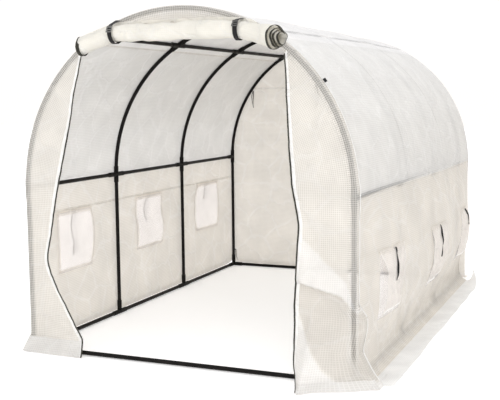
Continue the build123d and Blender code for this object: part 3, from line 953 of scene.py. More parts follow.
rear_sheet = grid_sheet("rear_sheet", rear_grid, rear_flat, rear_film, flip=True)
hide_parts("rear_wall_cover", "rear_gable_cover", "rear_skirt")

# %% [markdown]
# ## Front sheet
# The front sheet wraps the first hoop, where a ring seam joins it to the cover, and leaves a doorway
# between two zips and a bowed head. It is laid out from the hoop inwards: each row starts behind the
# hoop, goes round the tube, and runs towards the doorway until it meets the edge. The zip lines bend as
# they were measured in the photograph. A doorway could also be cut out of a finished sheet, but that
# leaves a ragged edge, and zips need a clean one.

# %% The edges of the doorway
left_zip_line = [(-0.562, 1.86), (-0.648, 1.527), (-0.777, 1.007), (-0.853, 0.640), (-0.866, 0.555)]
left_zip_line += [(-0.845, 0.478), (-0.730, 0.250), (-0.640, 0.095), (-0.622, 0.0)]
right_zip_line = [(0.622, 1.86), (0.643, 1.488), (0.652, 1.229), (0.668, 1.046), (0.704, 0.850)]
right_zip_line += [(0.697, 0.690), (0.682, 0.435), (0.680, 0.218), (0.690, 0.100), (0.760, 0.0)]
zip_softness = 0.10
zip_step = 0.005
door_head_level = 1.832
door_head_radius = 3.1
widest_head = 1.5
zip_levels = np.arange(-0.3, 2.2, zip_step)


def soft_line(line):
    """The x of a zip at every level, with its corners rounded."""
    levels = [level for across, level in line[::-1]]
    places = [across for across, level in line[::-1]]
    window = np.hanning(round(zip_softness / zip_step))
    pad = len(window) // 2
    padded = np.pad(np.interp(zip_levels, levels, places), pad, mode="edge")
    softened = np.convolve(padded, window / window.sum(), mode="same")
    return softened[pad: pad + len(zip_levels)]


left_zip = soft_line(left_zip_line)
right_zip = soft_line(right_zip_line)


def in_doorway(across, level):
    """True where a point of the front plane lies in the doorway."""
    bowed = np.sqrt(door_head_radius ** 2 - np.clip(across, -widest_head, widest_head) ** 2)
    head = door_head_level - door_head_radius + bowed
    past_left = across > np.interp(level, zip_levels, left_zip)
    before_right = across < np.interp(level, zip_levels, right_zip)
    return past_left & before_right & (level < head)


print(f"doorway {right_zip.min() - left_zip.max():.2f} m wide at its narrowest")

# %% The depth of the front sheet
front_gap = 0.0015
overlap_behind = 0.012
door_hem = 0.014
front_step = 0.010
front_radius = tube_cover + front_gap
front_wrap = front_radius * math.pi / 2
front_strip = seam_setback + overlap_behind
front_arcs = spaced([-wall_arc(ground_gap), -quarter_bow, 0, quarter_bow, wall_arc(ground_gap)], front_step)
row_arcs = front_arcs[:, None]
depths = np.linspace(0, 0.45, 1801)
probe_across, probe_level = cover_section(row_arcs, -depths)
on_leg = np.abs(row_arcs) > quarter_bow
probe_across = np.where(on_leg, np.sign(row_arcs) * (bow_radius - depths), probe_across)
probe_level = np.where(on_leg, spring_level + quarter_bow - np.abs(row_arcs), probe_level)
inside = in_doorway(probe_across, probe_level)
flap_depth = np.maximum(depths[np.argmax(inside, axis=1)], door_hem)
print(f"front sheet is up to {flap_depth.max():.2f} m deep beside the doorway")

# %% [markdown]
# The left flap hangs straight, and only its hem turns out on the ground. The right one has been pushed
# about: a pleat crosses it from the zip down to the hoop, the foot spreads forward over the ground, and
# below the pleat the edge that wraps the hoop has come loose. All of this is written as a push out of
# the front plane, or sideways, for each point, so that the sheet and what is sewn on it move together.

# %% Folds of the front flaps
pleat_upper = [(0.620, 0.860), (0.709, 0.786), (0.965, 0.549), (1.013, 0.411)]
pleat_lower = [(0.620, 0.565), (0.808, 0.522), (0.938, 0.479), (1.013, 0.403)]
pleat_rise = 0.055
pleat_drop = 0.016
thinnest_pleat = 0.004
front_ripples = [(0.004, 31, 0.15, 0.5), (0.0012, 32, 0.05, 0.15)]
front_folds = [
    ((0.69, 1.05), (0.90, 0.66), 0.007, 0.030),
    ((0.66, 1.50), (0.95, 1.02), 0.005, 0.040),
    ((0.78, 0.40), (0.80, 0.02), 0.012, 0.030),
    ((0.93, 0.38), (0.90, 0.05), 0.010, 0.030),
    ((-0.70, 0.30), (-1.00, 0.55), 0.007, 0.035),
    ((-0.66, 0.12), (-0.98, 0.26), 0.007, 0.030),
    ((-0.80, 1.10), (-1.00, 0.70), 0.006, 0.040),
]
foot_line = [(-1.03, 0.04), (-0.60, 0.055), (0.62, 0.05), (0.67, 0.06), (0.77, 0.23)]
foot_line += [(0.86, 0.15), (0.93, 0.09), (0.98, 0.02), (1.03, 0.02)]
right_foot_height = 0.42
left_foot_height = 0.10


def pleat(across, level):
    """The pleat of the right flap: it swells from its upper line and drops back under its lower one."""
    upper = on_line(across, pleat_upper)
    lower = on_line(across, pleat_lower)
    share = np.clip((upper - level) / np.maximum(upper - lower, thinnest_pleat), 0, 1)
    under = 1 - smooth_step(lower - level, 0, pleat_drop)
    taper = smooth_step(across, 0.67, 0.75) * (1 - smooth_step(across, 0.80, 1.01))
    return pleat_rise * share * under * taper


def foot_share(across, level):
    """0 above the foot of a flap and 1 on the ground."""
    height = np.where(across > 0, right_foot_height, left_foot_height)
    return np.clip(1 - level / height, 0, 1) ** np.where(across > 0, 1.6, 1.0)


def front_push(across, level, inward):
    """How far a point of the front sheet stands out of the front plane."""
    push = rippled(across, level, front_ripples) + sum(ridge(across, level, *fold) for fold in front_folds)
    push = smooth_step(inward, 0, 0.10) * push + smooth_step(inward, 0, 0.02) * pleat(across, level)
    reach = on_line(across, foot_line) * smooth_step(inward, -0.07, 0.03)
    return push + reach * foot_share(across, level)


print("folds set by hand on the flaps:", len(front_folds), "and a pleat")

# %% Points on the front sheet
right_edge_line = [(0.0, 0.13), (0.08, 0.07), (0.18, 0.02), (0.30, 0.045), (0.36, 0.045), (0.42, 0.0)]
left_edge_reach = 0.045
loose_edge = 0.16


def front_points(arc, inward, lift=0.0):
    """Points on the front sheet: inward counts from where it leaves the tube, towards the doorway."""
    arc, inward = np.broadcast_arrays(np.asarray(arc, float), np.asarray(inward, float))
    turned = np.clip((inward + front_wrap) / front_radius, 0, math.pi / 2)
    behind = np.maximum(-inward - front_wrap, 0)
    radius = front_radius + lift
    bumped = cover_offset(arc, front_place) - tube_cover
    offset = (radius + bumped) * np.cos(turned) - np.maximum(inward, 0)
    angle = np.clip(arc / bow_radius, -math.pi / 2, math.pi / 2)
    below = np.maximum(np.abs(arc) - quarter_bow, 0)
    across = np.sin(angle) * (bow_radius + offset)
    level = spring_level + np.cos(angle) * (bow_radius + offset) - below
    on_tube = 1 - smooth_step(inward, 0.02, 0.08)
    along = front_place + behind - (radius + bumped * on_tube) * np.sin(turned)
    along = along - front_push(across, level, inward)
    left_reach = left_edge_reach * foot_share(across, level)
    edge_reach = np.where(across > 0, on_line(level, right_edge_line), left_reach)
    across = across + np.sign(arc) * edge_reach * smooth_step(-inward, -loose_edge, 0.0)
    return np.stack([across, along, np.maximum(level, ground_gap + lift)], axis=-1)


strip_share = np.linspace(-1, 0, 5)[:-1]
wrap_share = np.linspace(-1, 0, 7)[:-1]
near_lines = np.array([0, tube_radius / 2, tube_radius, tube_radius + press_fade])
near_shares = np.array([0, 0.2, 0.4, 0.6])
plane_share = np.linspace(0, 1, 36)[1:]
row_depths = flap_depth[:, None]
row_near = np.minimum(near_lines[-1], row_depths * near_shares[-1])
front_inward = np.concatenate([
    np.repeat((strip_share * front_strip - front_wrap)[None, :], len(front_arcs), axis=0),
    np.repeat((wrap_share * front_wrap)[None, :], len(front_arcs), axis=0),
    np.minimum(near_lines, row_depths * near_shares),
    row_near + (row_depths - row_near) * plane_share,
], axis=1)
front_grid = front_points(row_arcs, front_inward)
print("front grid of", front_grid.shape[0], "by", front_grid.shape[1], "points")

# %% [markdown]
# Two marks tell the material more about the front sheet. It is tight where it lies on the hoop, so that
# the tube shows as a dotted band. It lies double in the pleat and in the gathered foot, where it is painted
# whiter, partly as painted highlight on the lit fold, and it hangs single on the stretch of the right flap
# between them, which is painted browner as the shade under the pleat.

# %% Mark and make the front sheet
tight_reach = 0.008
tight_fade = 0.030
shaded_thin_share = 0.75
gathered_foot = [(0.60, 0.50), (0.68, 0.46), (0.70, 0.40), (0.74, 0.31), (0.80, 0.20)]
gathered_foot += [(0.86, 0.12), (0.95, 0.06), (1.15, 0.05)]
front_across, front_along, front_level = (front_grid[..., axis] for axis in range(3))
above_spring = np.maximum(front_level - spring_level, 0)
from_hoop = np.hypot(np.hypot(front_across, above_spring) - bow_radius, front_along - front_place)
front_tight = 1 - smooth_step(from_hoop, tube_radius + tight_reach, tube_radius + tight_fade)
lower_line = on_line(front_across, pleat_lower)
upper_line = on_line(front_across, pleat_upper)
above_lower = smooth_step(front_level, lower_line - 0.01, lower_line)
in_pleat = above_lower * smooth_step(upper_line - front_level, 0, 0.012)
in_foot = smooth_step(on_line(front_across, gathered_foot) - front_level, 0, 0.03)
# The stretch under the pleat is marked for painted shade, and the pleat and the gathered foot for whiter
# sheet that lies double, partly painted highlight.
thin_in_shade = (1 - smooth_step(front_level, lower_line - 0.02, lower_line - 0.01)) * (1 - in_foot)
front_doubled = np.where(front_across > 0, in_pleat + in_foot - shaded_thin_share * thin_in_shade, 0)
front_panel = grid_sheet("front_panel", front_grid, stacked(row_arcs, front_inward), front_sheet,
                         tight=front_tight, doubled=front_doubled)
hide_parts("front_gable_cover", "front_left_flap", "front_right_flap", "front_right_skirt")

# %% Make the bottom hems of the flaps
hem_heights = {"left": 0.09, "right": 0.05}
hem_rise = 0.0018
foot_hem_grids = []
for side, sign in side_signs.items():
    hem_arcs = sign * wall_arc(np.linspace(ground_gap, hem_heights[side], 9))[:, None]
    hem_depth = np.interp(hem_arcs, front_arcs, flap_depth)
    hem_inward = -front_wrap + (hem_depth - door_hem + front_wrap) * np.linspace(0, 1, 44)
    hem_points = front_points(hem_arcs, hem_inward, lift=hem_rise)
    foot_hem_grids.append((hem_points, stacked(hem_arcs, hem_inward)))
front_hems = join_grids("front_hems", foot_hem_grids, foot_hem)
print("bottom hem faces:", len(front_hems.data.polygons))

# %% [markdown]
# ## Things that repeat along a line
# Zip teeth and stitches are the same small block set again and again along a path. A Geometry Nodes
# tree does this: it takes a path whose points know which way is out of the sheet, spaces blocks along
# it, and turns each one to the path and to the sheet. The result is kept as a plain mesh. An Array
# modifier on a curve could repeat a block too, but would not turn it to the sheet.

# %% A tree that sets blocks along a path
block_tree = bpy.data.node_groups.new("blocks_along_path", "GeometryNodeTree")
block_seed = 5
block_inputs = {}
block_kinds = {"Path": "Geometry", "Spacing": "Float", "Size": "Vector", "Scatter": "Float"}
block_kinds["Material"] = "Material"
for label, kind in block_kinds.items():
    socket = block_tree.interface.new_socket(label, in_out="INPUT", socket_type="NodeSocket" + kind)
    block_inputs[label] = socket.identifier
block_tree.interface.new_socket("Blocks", in_out="OUTPUT", socket_type="NodeSocketGeometry")


def block_node(kind, **settings):
    """A node of the tree with these settings."""
    node = block_tree.nodes.new(kind)
    for label, value in settings.items():
        setattr(node, label, value)
    return node


block_in = block_node("NodeGroupInput").outputs
block_out = block_node("NodeGroupOutput").inputs
as_curve = block_node("GeometryNodeMeshToCurve")
even = block_node("GeometryNodeResampleCurve", mode="LENGTH")
block = block_node("GeometryNodeMeshCube")
outward = block_node("GeometryNodeInputNamedAttribute", data_type="FLOAT_VECTOR")
outward.inputs["Name"].default_value = "outward"
heading = block_node("GeometryNodeInputTangent")
stand = block_node("FunctionNodeAlignRotationToVector", axis="Z")
face = block_node("FunctionNodeAlignRotationToVector", axis="X", pivot_axis="Z")
uneven = block_node("FunctionNodeRandomValue", data_type="FLOAT")
uneven.inputs["Seed"].default_value = block_seed
least = block_node("ShaderNodeMath", operation="SUBTRACT")
least.inputs[0].default_value = 1
most = block_node("ShaderNodeMath", operation="ADD")
most.inputs[0].default_value = 1
copies = block_node("GeometryNodeInstanceOnPoints")
real = block_node("GeometryNodeRealizeInstances")
coat = block_node("GeometryNodeSetMaterial")
for source, target in (
    (block_in["Path"], as_curve.inputs["Mesh"]),
    (as_curve.outputs["Curve"], even.inputs["Curve"]),
    (block_in["Spacing"], even.inputs["Length"]),
    (block_in["Size"], block.inputs["Size"]),
    (outward.outputs[0], stand.inputs["Vector"]),
    (stand.outputs[0], face.inputs["Rotation"]),
    (heading.outputs[0], face.inputs["Vector"]),
    (block_in["Scatter"], least.inputs[1]),
    (block_in["Scatter"], most.inputs[1]),
    (least.outputs[0], uneven.inputs[2]),
    (most.outputs[0], uneven.inputs[3]),
    (even.outputs["Curve"], copies.inputs["Points"]),
    (block.outputs["Mesh"], copies.inputs["Instance"]),
    (face.outputs[0], copies.inputs["Rotation"]),
    (uneven.outputs[1], copies.inputs["Scale"]),
    (copies.outputs["Instances"], real.inputs["Geometry"]),
    (real.outputs["Geometry"], coat.inputs["Geometry"]),
    (block_in["Material"], coat.inputs["Material"]),
    (coat.outputs["Geometry"], block_out["Blocks"]),
):
    block_tree.links.new(source, target)
print("tree of", len(block_tree.nodes), "nodes ready")

# %% Use the tree
block_faces = 6
block_scatter = 0.1


def blocks_along(name, paths, spacing, size, material):
    """A plain mesh of blocks along paths: each is its points and the way out of the sheet there."""
    vertices, edges, outs = [], [], []
    for points, out in paths:
        first = len(vertices)
        vertices.extend(np.asarray(points, float).tolist())
        outs.extend(np.broadcast_to(np.asarray(out, float), np.shape(points)).tolist())
        edges.extend((number, number + 1) for number in range(first, len(vertices) - 1))
    mesh = bpy.data.meshes.new(name + "_path")
    mesh.from_pydata(vertices, edges, [])
    outward_ways = mesh.attributes.new("outward", "FLOAT_VECTOR", "POINT")
    outward_ways.data.foreach_set("vector", np.array(outs).ravel())
    path = bpy.data.objects.new(name + "_path", mesh)
    scene.collection.objects.link(path)
    modifier = path.modifiers.new("blocks", "NODES")
    modifier.node_group = block_tree
    settings = {"Spacing": spacing, "Size": size, "Scatter": block_scatter, "Material": material}
    for label, value in settings.items():
        modifier[block_inputs[label]] = value
    graph = bpy.context.evaluated_depsgraph_get()
    plain = bpy.data.meshes.new_from_object(path.evaluated_get(graph))
    plain.name = name
    path.modifiers.remove(modifier)
    bpy.data.objects.remove(path)
    return add_piece(name, plain)


print("inputs of the tree:", list(block_inputs))

# %% [markdown]
# ## Zips
# A zip runs along each doorway edge of the front sheet: a narrow woven tape with a row of coil teeth on
# its edge, and beside it the white hem that the tape is sewn to. The other halves went up with the
# door. Hem, tape and teeth follow the last columns of the front sheet.

# %% Make the zips
tape_width = 0.007
tape_lift = 0.0016
edge_hem_width = 0.018
edge_hem_lift = 0.0012
past_edge_share = 0.2
tooth_pitch = 0.0042
tooth_size = (0.0022, 0.0034, 0.0024)
zip_end_angle = math.radians(38)


def along_edge(rows, steps, lift):
    """A strip of the front sheet along its doorway edge: steps are counted back from the edge."""
    inward = flap_depth[rows][:, None] - steps
    arc = front_arcs[rows][:, None]
    return front_points(arc, inward, lift=lift), stacked(arc, inward)


zip_grids = []
edge_hem_grids = []
for sign in side_signs.values():
    rows = (sign * front_arcs > bow_radius * zip_end_angle) & (flap_depth > 2 * door_hem)
    tape_steps = tape_width * np.linspace(1, -past_edge_share, 4)
    hem_steps = tape_width + edge_hem_width * np.linspace(1, -past_edge_share, 5)
    zip_grids.append(along_edge(rows, tape_steps, 2 * tape_lift))
    edge_hem_grids.append(along_edge(rows, hem_steps, edge_hem_lift))
tooth_paths = [(points[:, -1], (0, -1, 0)) for points, flat in zip_grids]
zip_tapes = join_grids("zip_tapes", zip_grids, zip_tape)
zip_teeth = blocks_along("zip_teeth", tooth_paths, tooth_pitch, tooth_size, zip_plastic)
edge_hems = join_grids("door_edge_hems", edge_hem_grids, hem_sheet)
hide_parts("door_zips")
print("zip teeth:", len(zip_teeth.data.polygons) // block_faces)

# %% [markdown]
# ## Door roll
# The door is rolled up inwards on itself and hung under the gable. It is a true spiral of sheet: four
# turns, tight at the straps and slack between them. The right end bends forward and is pulled out like
# a telescope, so its turns show as rings, and the zip halves are wound up at both ends. The last turn
# leaves the roll behind and goes up to the gable. A plain tube with rings painted on its end would be
# quicker, but would look flat from the side.

# %% The roll's middle line and girth
roll_low, roll_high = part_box("door_roll")
strap_low, strap_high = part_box("roll_straps")
roll_radius = (roll_high[1] - roll_low[1]) / 2
roll_place = (roll_high[1] + roll_low[1]) / 2
roll_top = roll_high[2] - roll_radius
roll_bow = 3.1
strap_width = 0.025
left_strap_shift = 0.028
strap_places = (strap_low[0] + strap_width / 2 + left_strap_shift, strap_high[0] - strap_width / 2)
left_droop = 0.030
right_droop = 0.008
roll_hitch = 0.028
roll_sag = 0.016
roll_bend_start = 0.44
roll_bend_radius = 0.30
roll_bend_angle = math.radians(24)
pinch_width = 0.035
pinch_share = 0.10
open_share = 0.17


def roll_axis(reach):
    """The roll's middle line in plan and its turn, at a length along it: straight, then bent forward."""
    turn = np.clip((reach - roll_bend_start) / roll_bend_radius, 0, roll_bend_angle)
    past = np.maximum(reach - roll_bend_start - roll_bend_radius * roll_bend_angle, 0)
    across = np.minimum(reach, roll_bend_start) + roll_bend_radius * np.sin(turn) + past * np.cos(turn)
    along = roll_place - roll_bend_radius * (1 - np.cos(turn)) - past * np.sin(turn)
    return across, along, turn


def roll_level(across):
    """The level of the roll's middle line."""
    bowed = roll_top + roll_hitch - across ** 2 / (2 * roll_bow)
    sag = roll_sag * np.cos(math.pi / 2 * np.clip(across / strap_places[1], -1, 1)) ** 2
    left = left_droop * smooth_step(-across, 0.33, 0.62)
    return bowed - left - sag - right_droop * smooth_step(across, 0.44, 0.60)


def roll_girth(across):
    """The share of its radius that the roll keeps: pinched by the straps, open at its right end."""
    pinch = sum(np.exp(-(((across - place) / pinch_width) ** 2)) for place in strap_places)
    return 1 - pinch_share * pinch + open_share * smooth_step(across, 0.46, 0.60)


print("straps at", [round(place, 3) for place in strap_places])

# %% Wind the roll
roll_core = 0.023
roll_turns = 4
turn_steps = 40
roll_left_end = -0.560
roll_right_end = 0.625
core_reach = 0.066
skin_gap = 0.001
flat_share = 0.06
slack_ripple = (0.0028, 41, 0.10, 0.45)
fine_ripple = (0.0012, 42, 0.04, 0.12)
spiral = np.linspace(-2 * math.pi * roll_turns, 0, roll_turns * turn_steps + 1)
spiral_share = 1 + spiral / (2 * math.pi * roll_turns)
spiral_radius = roll_core + (roll_radius - skin_gap - roll_core) * spiral_share
left_edge = roll_left_end + 0.012 * np.sin(3 * spiral) * (1 - spiral_share) + 0.02 * (1 - spiral_share)
right_edge = roll_right_end + core_reach * (1 - spiral_share) ** 0.9 + 0.003 * np.sin(2 * spiral)
roll_reach = left_edge[:, None] + (right_edge - left_edge)[:, None] * np.linspace(0, 1, 104)
turn_angle = spiral[:, None]
slack = rippled(roll_reach, turn_angle * 0.05, [slack_ripple]) * spiral_share[:, None]
slack = slack + rippled(roll_reach + 0.03 * np.sin(turn_angle), turn_angle * 0.03, [fine_ripple])
winding = (spiral_radius[:, None] + slack) * roll_girth(roll_reach)
winding = winding * (1 - flat_share * np.maximum(np.sin(turn_angle), 0))
axis_across, axis_along, axis_turn = roll_axis(roll_reach)
roll_grid = np.stack([
    axis_across + winding * np.cos(turn_angle) * np.sin(axis_turn),
    axis_along + winding * np.cos(turn_angle) * np.cos(axis_turn),
    roll_level(axis_across) + winding * np.sin(turn_angle),
], axis=-1)
roll_length = np.concatenate([[0], np.cumsum(np.diff(spiral) * spiral_radius[1:])])
print(f"{roll_turns} turns take up {roll_length[-1]:.2f} m of sheet")

# %% Lead the sheet up to the gable and make the roll
lead_rise = np.linspace(0, 0.065, 6)[1:]
lead_gap = 0.002
lead_loss_share = 0.9
lead_share = 1 - lead_loss_share * smooth_step(roll_reach[-1], 0.44, 0.54)
lead_rows = np.repeat(roll_grid[-1:], len(lead_rise), axis=0)
lead_rows[..., 1] = np.minimum(lead_rows[..., 1], front_place - front_radius - lead_gap)
lead_rows[..., 2] += lead_rise[:, None] * lead_share
sheet_grid = np.concatenate([roll_grid, lead_rows])
roll_flat_up = np.concatenate([roll_length, roll_length[-1] + lead_rise])
roll_flat_across = np.concatenate([roll_reach, np.repeat(roll_reach[-1:], len(lead_rise), axis=0)])
roll_flat = stacked(roll_flat_across, roll_flat_up[:, None])
door_roll = grid_sheet("door_roll_sheet", sheet_grid, roll_flat, door_sheet)
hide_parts("door_roll")
print(f"door rolled up from {roll_flat_up[-1]:.2f} m of sheet, {len(door_roll.data.polygons)} faces")

# %% Zip halves wound up at the ends of the roll
left_wound_width = 0.020
right_wound_width = 0.013
wound_lift = 0.0014
wound_grids = []
wound_paths = []
for column, width in ((0, left_wound_width), (-1, -right_wound_width)):
    heading_turn = axis_turn[:, column]
    axis_heading = stacked(np.cos(heading_turn), -np.sin(heading_turn), 0)
    axis_side = stacked(np.sin(heading_turn), np.cos(heading_turn), 0)
    out = np.cos(turn_angle) * axis_side + np.sin(turn_angle) * np.array([0, 0, 1])
    steps = np.linspace(-0.1, 1, 5)[None, :, None] * width
    edge = roll_grid[:, column]
    band = edge[:, None, :] + steps * axis_heading[:, None, :] + wound_lift * out[:, None, :]
    wound_grids.append((band, stacked(steps[..., 0], roll_length[:, None])))
    wound_paths.append((band[:, 0], out))
roll_tapes = join_grids("roll_zip_tapes", wound_grids, zip_tape)
roll_teeth = blocks_along("roll_zip_teeth", wound_paths, tooth_pitch, tooth_size, zip_plastic)
print("teeth on the roll:", len(roll_teeth.data.polygons) // block_faces)

# %% [markdown]
# ## Straps
# Two webbing straps come over the front hoop, go round the roll and up behind it. Each has a moulded
# ladder buckle to set its length. The path is worked out as a tangent from the hoop to the roll and an
# arc round it.

# %% Make the straps
strap_thickness = 0.0018
strap_leans = (0.022, 0.0)
strap_squeeze_share = 0.92
strap_gap = 0.0045
strap_start_gap = 0.003
strap_start_drop = 0.004
strap_end_gap = 0.004
strap_tail = 0.045
strap_wrap = roll_radius * strap_squeeze_share + strap_gap
buckle_row = 15


def strap_path(place):
    """The strap's line in its upright plane, (along, level), with its headings and ways out of the roll."""
    centre = np.array([roll_place, float(roll_level(np.array(place)))])
    hoop_top = spring_level + math.sqrt((bow_radius + front_radius) ** 2 - place ** 2)
    start = np.array([front_place - front_radius - strap_start_gap, hoop_top - strap_start_drop])
    away = start - centre
    first = math.atan2(away[1], away[0]) + math.acos(strap_wrap / math.hypot(*away))
    angles = np.linspace(first, 2 * math.pi, 44)
    round_roll = centre + strap_wrap * np.stack([np.cos(angles), np.sin(angles)], axis=-1)
    run = start + (round_roll[0] - start) * np.linspace(0, 1, 8)[:-1, None]
    tail = round_roll[-1] + np.array([0, 1]) * np.linspace(0, strap_tail, 4)[1:, None]
    tail[:, 0] = np.minimum(tail[:, 0], front_place - front_radius - strap_end_gap)
    path = np.concatenate([run, round_roll, tail])
    headings = np.gradient(path, axis=0)
    headings /= np.linalg.norm(headings, axis=1)[:, None]
    outs = np.stack([-headings[:, 1], headings[:, 0]], axis=-1)
    outs = np.where(np.sum(outs * (path - centre), axis=1)[:, None] < 0, -outs, outs)
    return path, headings, outs


strap_grids = []
buckle_frames = []
for place, lean in zip(strap_places, strap_leans):
    path, headings, outs = strap_path(place)
    length = np.concatenate([[0], np.cumsum(np.linalg.norm(np.diff(path, axis=0), axis=1))])[:, None]
    middle = place + lean * (length / length[-1])
    for face_side in (-1, 1):
        columns = face_side * strap_width * np.linspace(-0.5, 0.5, 5)
        skin = path + face_side * strap_thickness / 2 * outs
        strap_grids.append((stacked(middle + columns, skin[:, :1], skin[:, 1:]), stacked(columns, length)))
    buckle_centre = np.array([middle[buckle_row, 0], *path[buckle_row]])
    buckle_frames.append((buckle_centre, headings[buckle_row], outs[buckle_row]))
straps = join_grids("roll_webbing", strap_grids, webbing)
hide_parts("roll_straps")
print("strap faces:", len(straps.data.polygons))

# %% Make the buckles
buckle_bars = [
    ((0.0, 0.0165), (0.026, 0.0040, 0.0042)),
    ((0.0, -0.0165), (0.026, 0.0040, 0.0042)),
    ((0.0, 0.0040), (0.026, 0.0034, 0.0050)),
    ((0.0150, 0.0), (0.0042, 0.037, 0.0042)),
    ((-0.0150, 0.0), (0.0042, 0.037, 0.0042)),
    ((0.0, -0.0090), (0.026, 0.0028, 0.0036)),
]
buckle_lift = 0.0026
chamfer_share = 0.45


def chamfered_bar(size):
    """Corners and faces of a bar with chamfered long edges."""
    wide, tall, deep = (value / 2 for value in size)
    chamfer = min(wide, tall, deep) * chamfer_share
    ring = [(wide - chamfer, -deep), (wide, -deep + chamfer), (wide, deep - chamfer), (wide - chamfer, deep)]
    ring += [(-across, height) for across, height in ring[::-1]]
    corners = [(across, end, height) for end in (-tall, tall) for across, height in ring]
    count = len(ring)
    faces = [(n, (n + 1) % count, count + (n + 1) % count, count + n) for n in range(count)]
    faces += [tuple(range(count))[::-1], tuple(range(count, 2 * count))]
    return corners, faces


buckle_vertices, buckle_faces = [], []
for centre, heading_at, out_at in buckle_frames:
    turn_to_strap = np.array([(1, 0, 0), (0, *heading_at), (0, *out_at)])
    for (bar_across, bar_along), bar_size in buckle_bars:
        corners, faces = chamfered_bar(bar_size)
        first = len(buckle_vertices)
        placed = np.array(corners) + (bar_across, bar_along, buckle_lift)
        buckle_vertices.extend((centre + placed @ turn_to_strap).tolist())
        buckle_faces.extend(tuple(first + corner for corner in face) for face in faces)
buckle_mesh = bpy.data.meshes.new("strap_buckles")
buckle_mesh.from_pydata(buckle_vertices, [], buckle_faces)
buckle_mesh.materials.append(buckle_plastic)
buckles = add_piece("strap_buckles", buckle_mesh)
print("buckle bars:", len(buckle_bars) * len(buckle_frames))

# %% [markdown]
# ## Windows
# Each bay has a window on both sides: an opening with a bound edge, a fine net sewn into it, and
# outside it a loose flap that can be rolled up and tied with the two tapes that hang down before and
# behind it. From inside, the net and the flap behind it are the brightest part of the wall. The three
# right-hand flaps hang differently, as in the photograph, and two of them are pulled aside at one edge,
# so that the net shows. They could be loose panes set into the wall, but as grids on the cover's own
# surface they follow its swell.

# %% Make the nets and their bound edges
hem_width = 0.014
hem_lift = -0.0026
hem_shares = np.array([-0.1, 0.45, 1])
net_lift = -0.0012
window_step = 0.02


def cover_patch(levels, alongs, sign, lift):
    """A grid on the wall of the cover between these lines, lifted off it, with its flat coordinates."""
    arc, along = np.meshgrid(sign * wall_arc(levels), alongs)
    return cover_points(arc, along, lift=lift), np.stack([arc, along], axis=-1)


for side, sign in side_signs.items():
    net_grids = []
    hem_grids = []
    sill, head = window_sills[side], window_heads[side]
    levels = spaced([sill - hem_width / 2, head + hem_width / 2], window_step)
    for place in bay_places:
        near, far = place - window_half, place + window_half
        alongs = spaced([near - hem_width / 2, far + hem_width / 2], window_step)
        net_grids.append(cover_patch(levels, alongs, sign, net_lift))
        for level, inwards in ((sill, hem_width), (head, -hem_width)):
            hem_grids.append(cover_patch(level + inwards * hem_shares, alongs, sign, hem_lift))
        for end, inwards in ((near, hem_width), (far, -hem_width)):
            hem_grids.append(cover_patch(levels, end + inwards * hem_shares, sign, hem_lift))
    join_grids(f"{side}_nets", net_grids, net_sheet)
    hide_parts(f"{side}_window_nets")
    join_grids(f"{side}_window_hems", hem_grids, tape_sheet)
print("windows:", len(side_signs) * len(bay_places))

# %% [markdown]
# Each flap has its own look: how far it bellies out, how far one edge is pulled aside, the seed of its
# ripples, and the place and the length of its tie. The right flaps are hitched up a little.

# %% Shape of the window flaps
flap_overlap = 0.009
flap_rest = 0.005
flap_ripple_height = 0.005
flap_ripple_lengths = (0.12, 0.40)
aside_lift_share = 0.3
flap_half = window_half + flap_overlap
flap_drop = window_height + flap_overlap + seam_levels["left"] - window_heads["left"]
flap_looks = {
    "left": [(0.020, 0.0, 51, 0.0, 0.30), (0.018, 0.0, 52, 0.0, 0.20), (0.022, 0.0, 53, 0.0, 0.14)],
    "right": [(0.016, 0.075, 54, 0.05, 0.22), (0.008, 0.0, 55, 0.0, 0.24), (0.034, -0.070, 56, -0.40, 0.13)],
}
hitch_shares = {"left": 0.0, "right": 0.11}


def flap_points(side, place, look, share_along, share_down, lift=0.0):
    """Points on a hanging window flap: its belly, the edge that is pulled aside, and its ripples."""
    belly, aside, seed = look[:3]
    level = seam_levels[side] - flap_drop * share_down * (1 - hitch_shares[side])
    edge = np.clip((1 - np.sign(aside) * share_along) / 2, 0, 1)
    along = place + flap_half * share_along + aside * edge ** 1.5 * np.sin(math.pi * share_down)
    free = smooth_step(share_down, 0, 0.35)
    fall = np.clip(share_down / 0.3, 0, 1) ** 0.6 * (1 - 0.45 * smooth_step(share_down, 0.55, 1))
    stand = belly * np.cos(math.pi / 2 * np.clip(share_along, -1, 1)) * fall
    pulled = aside_lift_share * np.abs(aside) * edge ** 3 * free
    ripple = flap_ripple_height * free * ripples(along, level, seed, *flap_ripple_lengths)
    out = flap_rest + np.maximum(stand + pulled + ripple, 0) + lift
    return cover_points(side_signs[side] * wall_arc(level), along, lift=out)


def flap_patch(side, place, look, share_along, share_down, lift=0.0):
    """A grid on a window flap, lifted off it, with its flat coordinates."""
    share_along, share_down = np.broadcast_arrays(share_along, share_down)
    points = flap_points(side, place, look, share_along, share_down, lift)
    return points, np.stack([flap_half * share_along, flap_drop * share_down], axis=-1)


print(f"window flap {2 * flap_half:.2f} by {flap_drop:.2f} m")

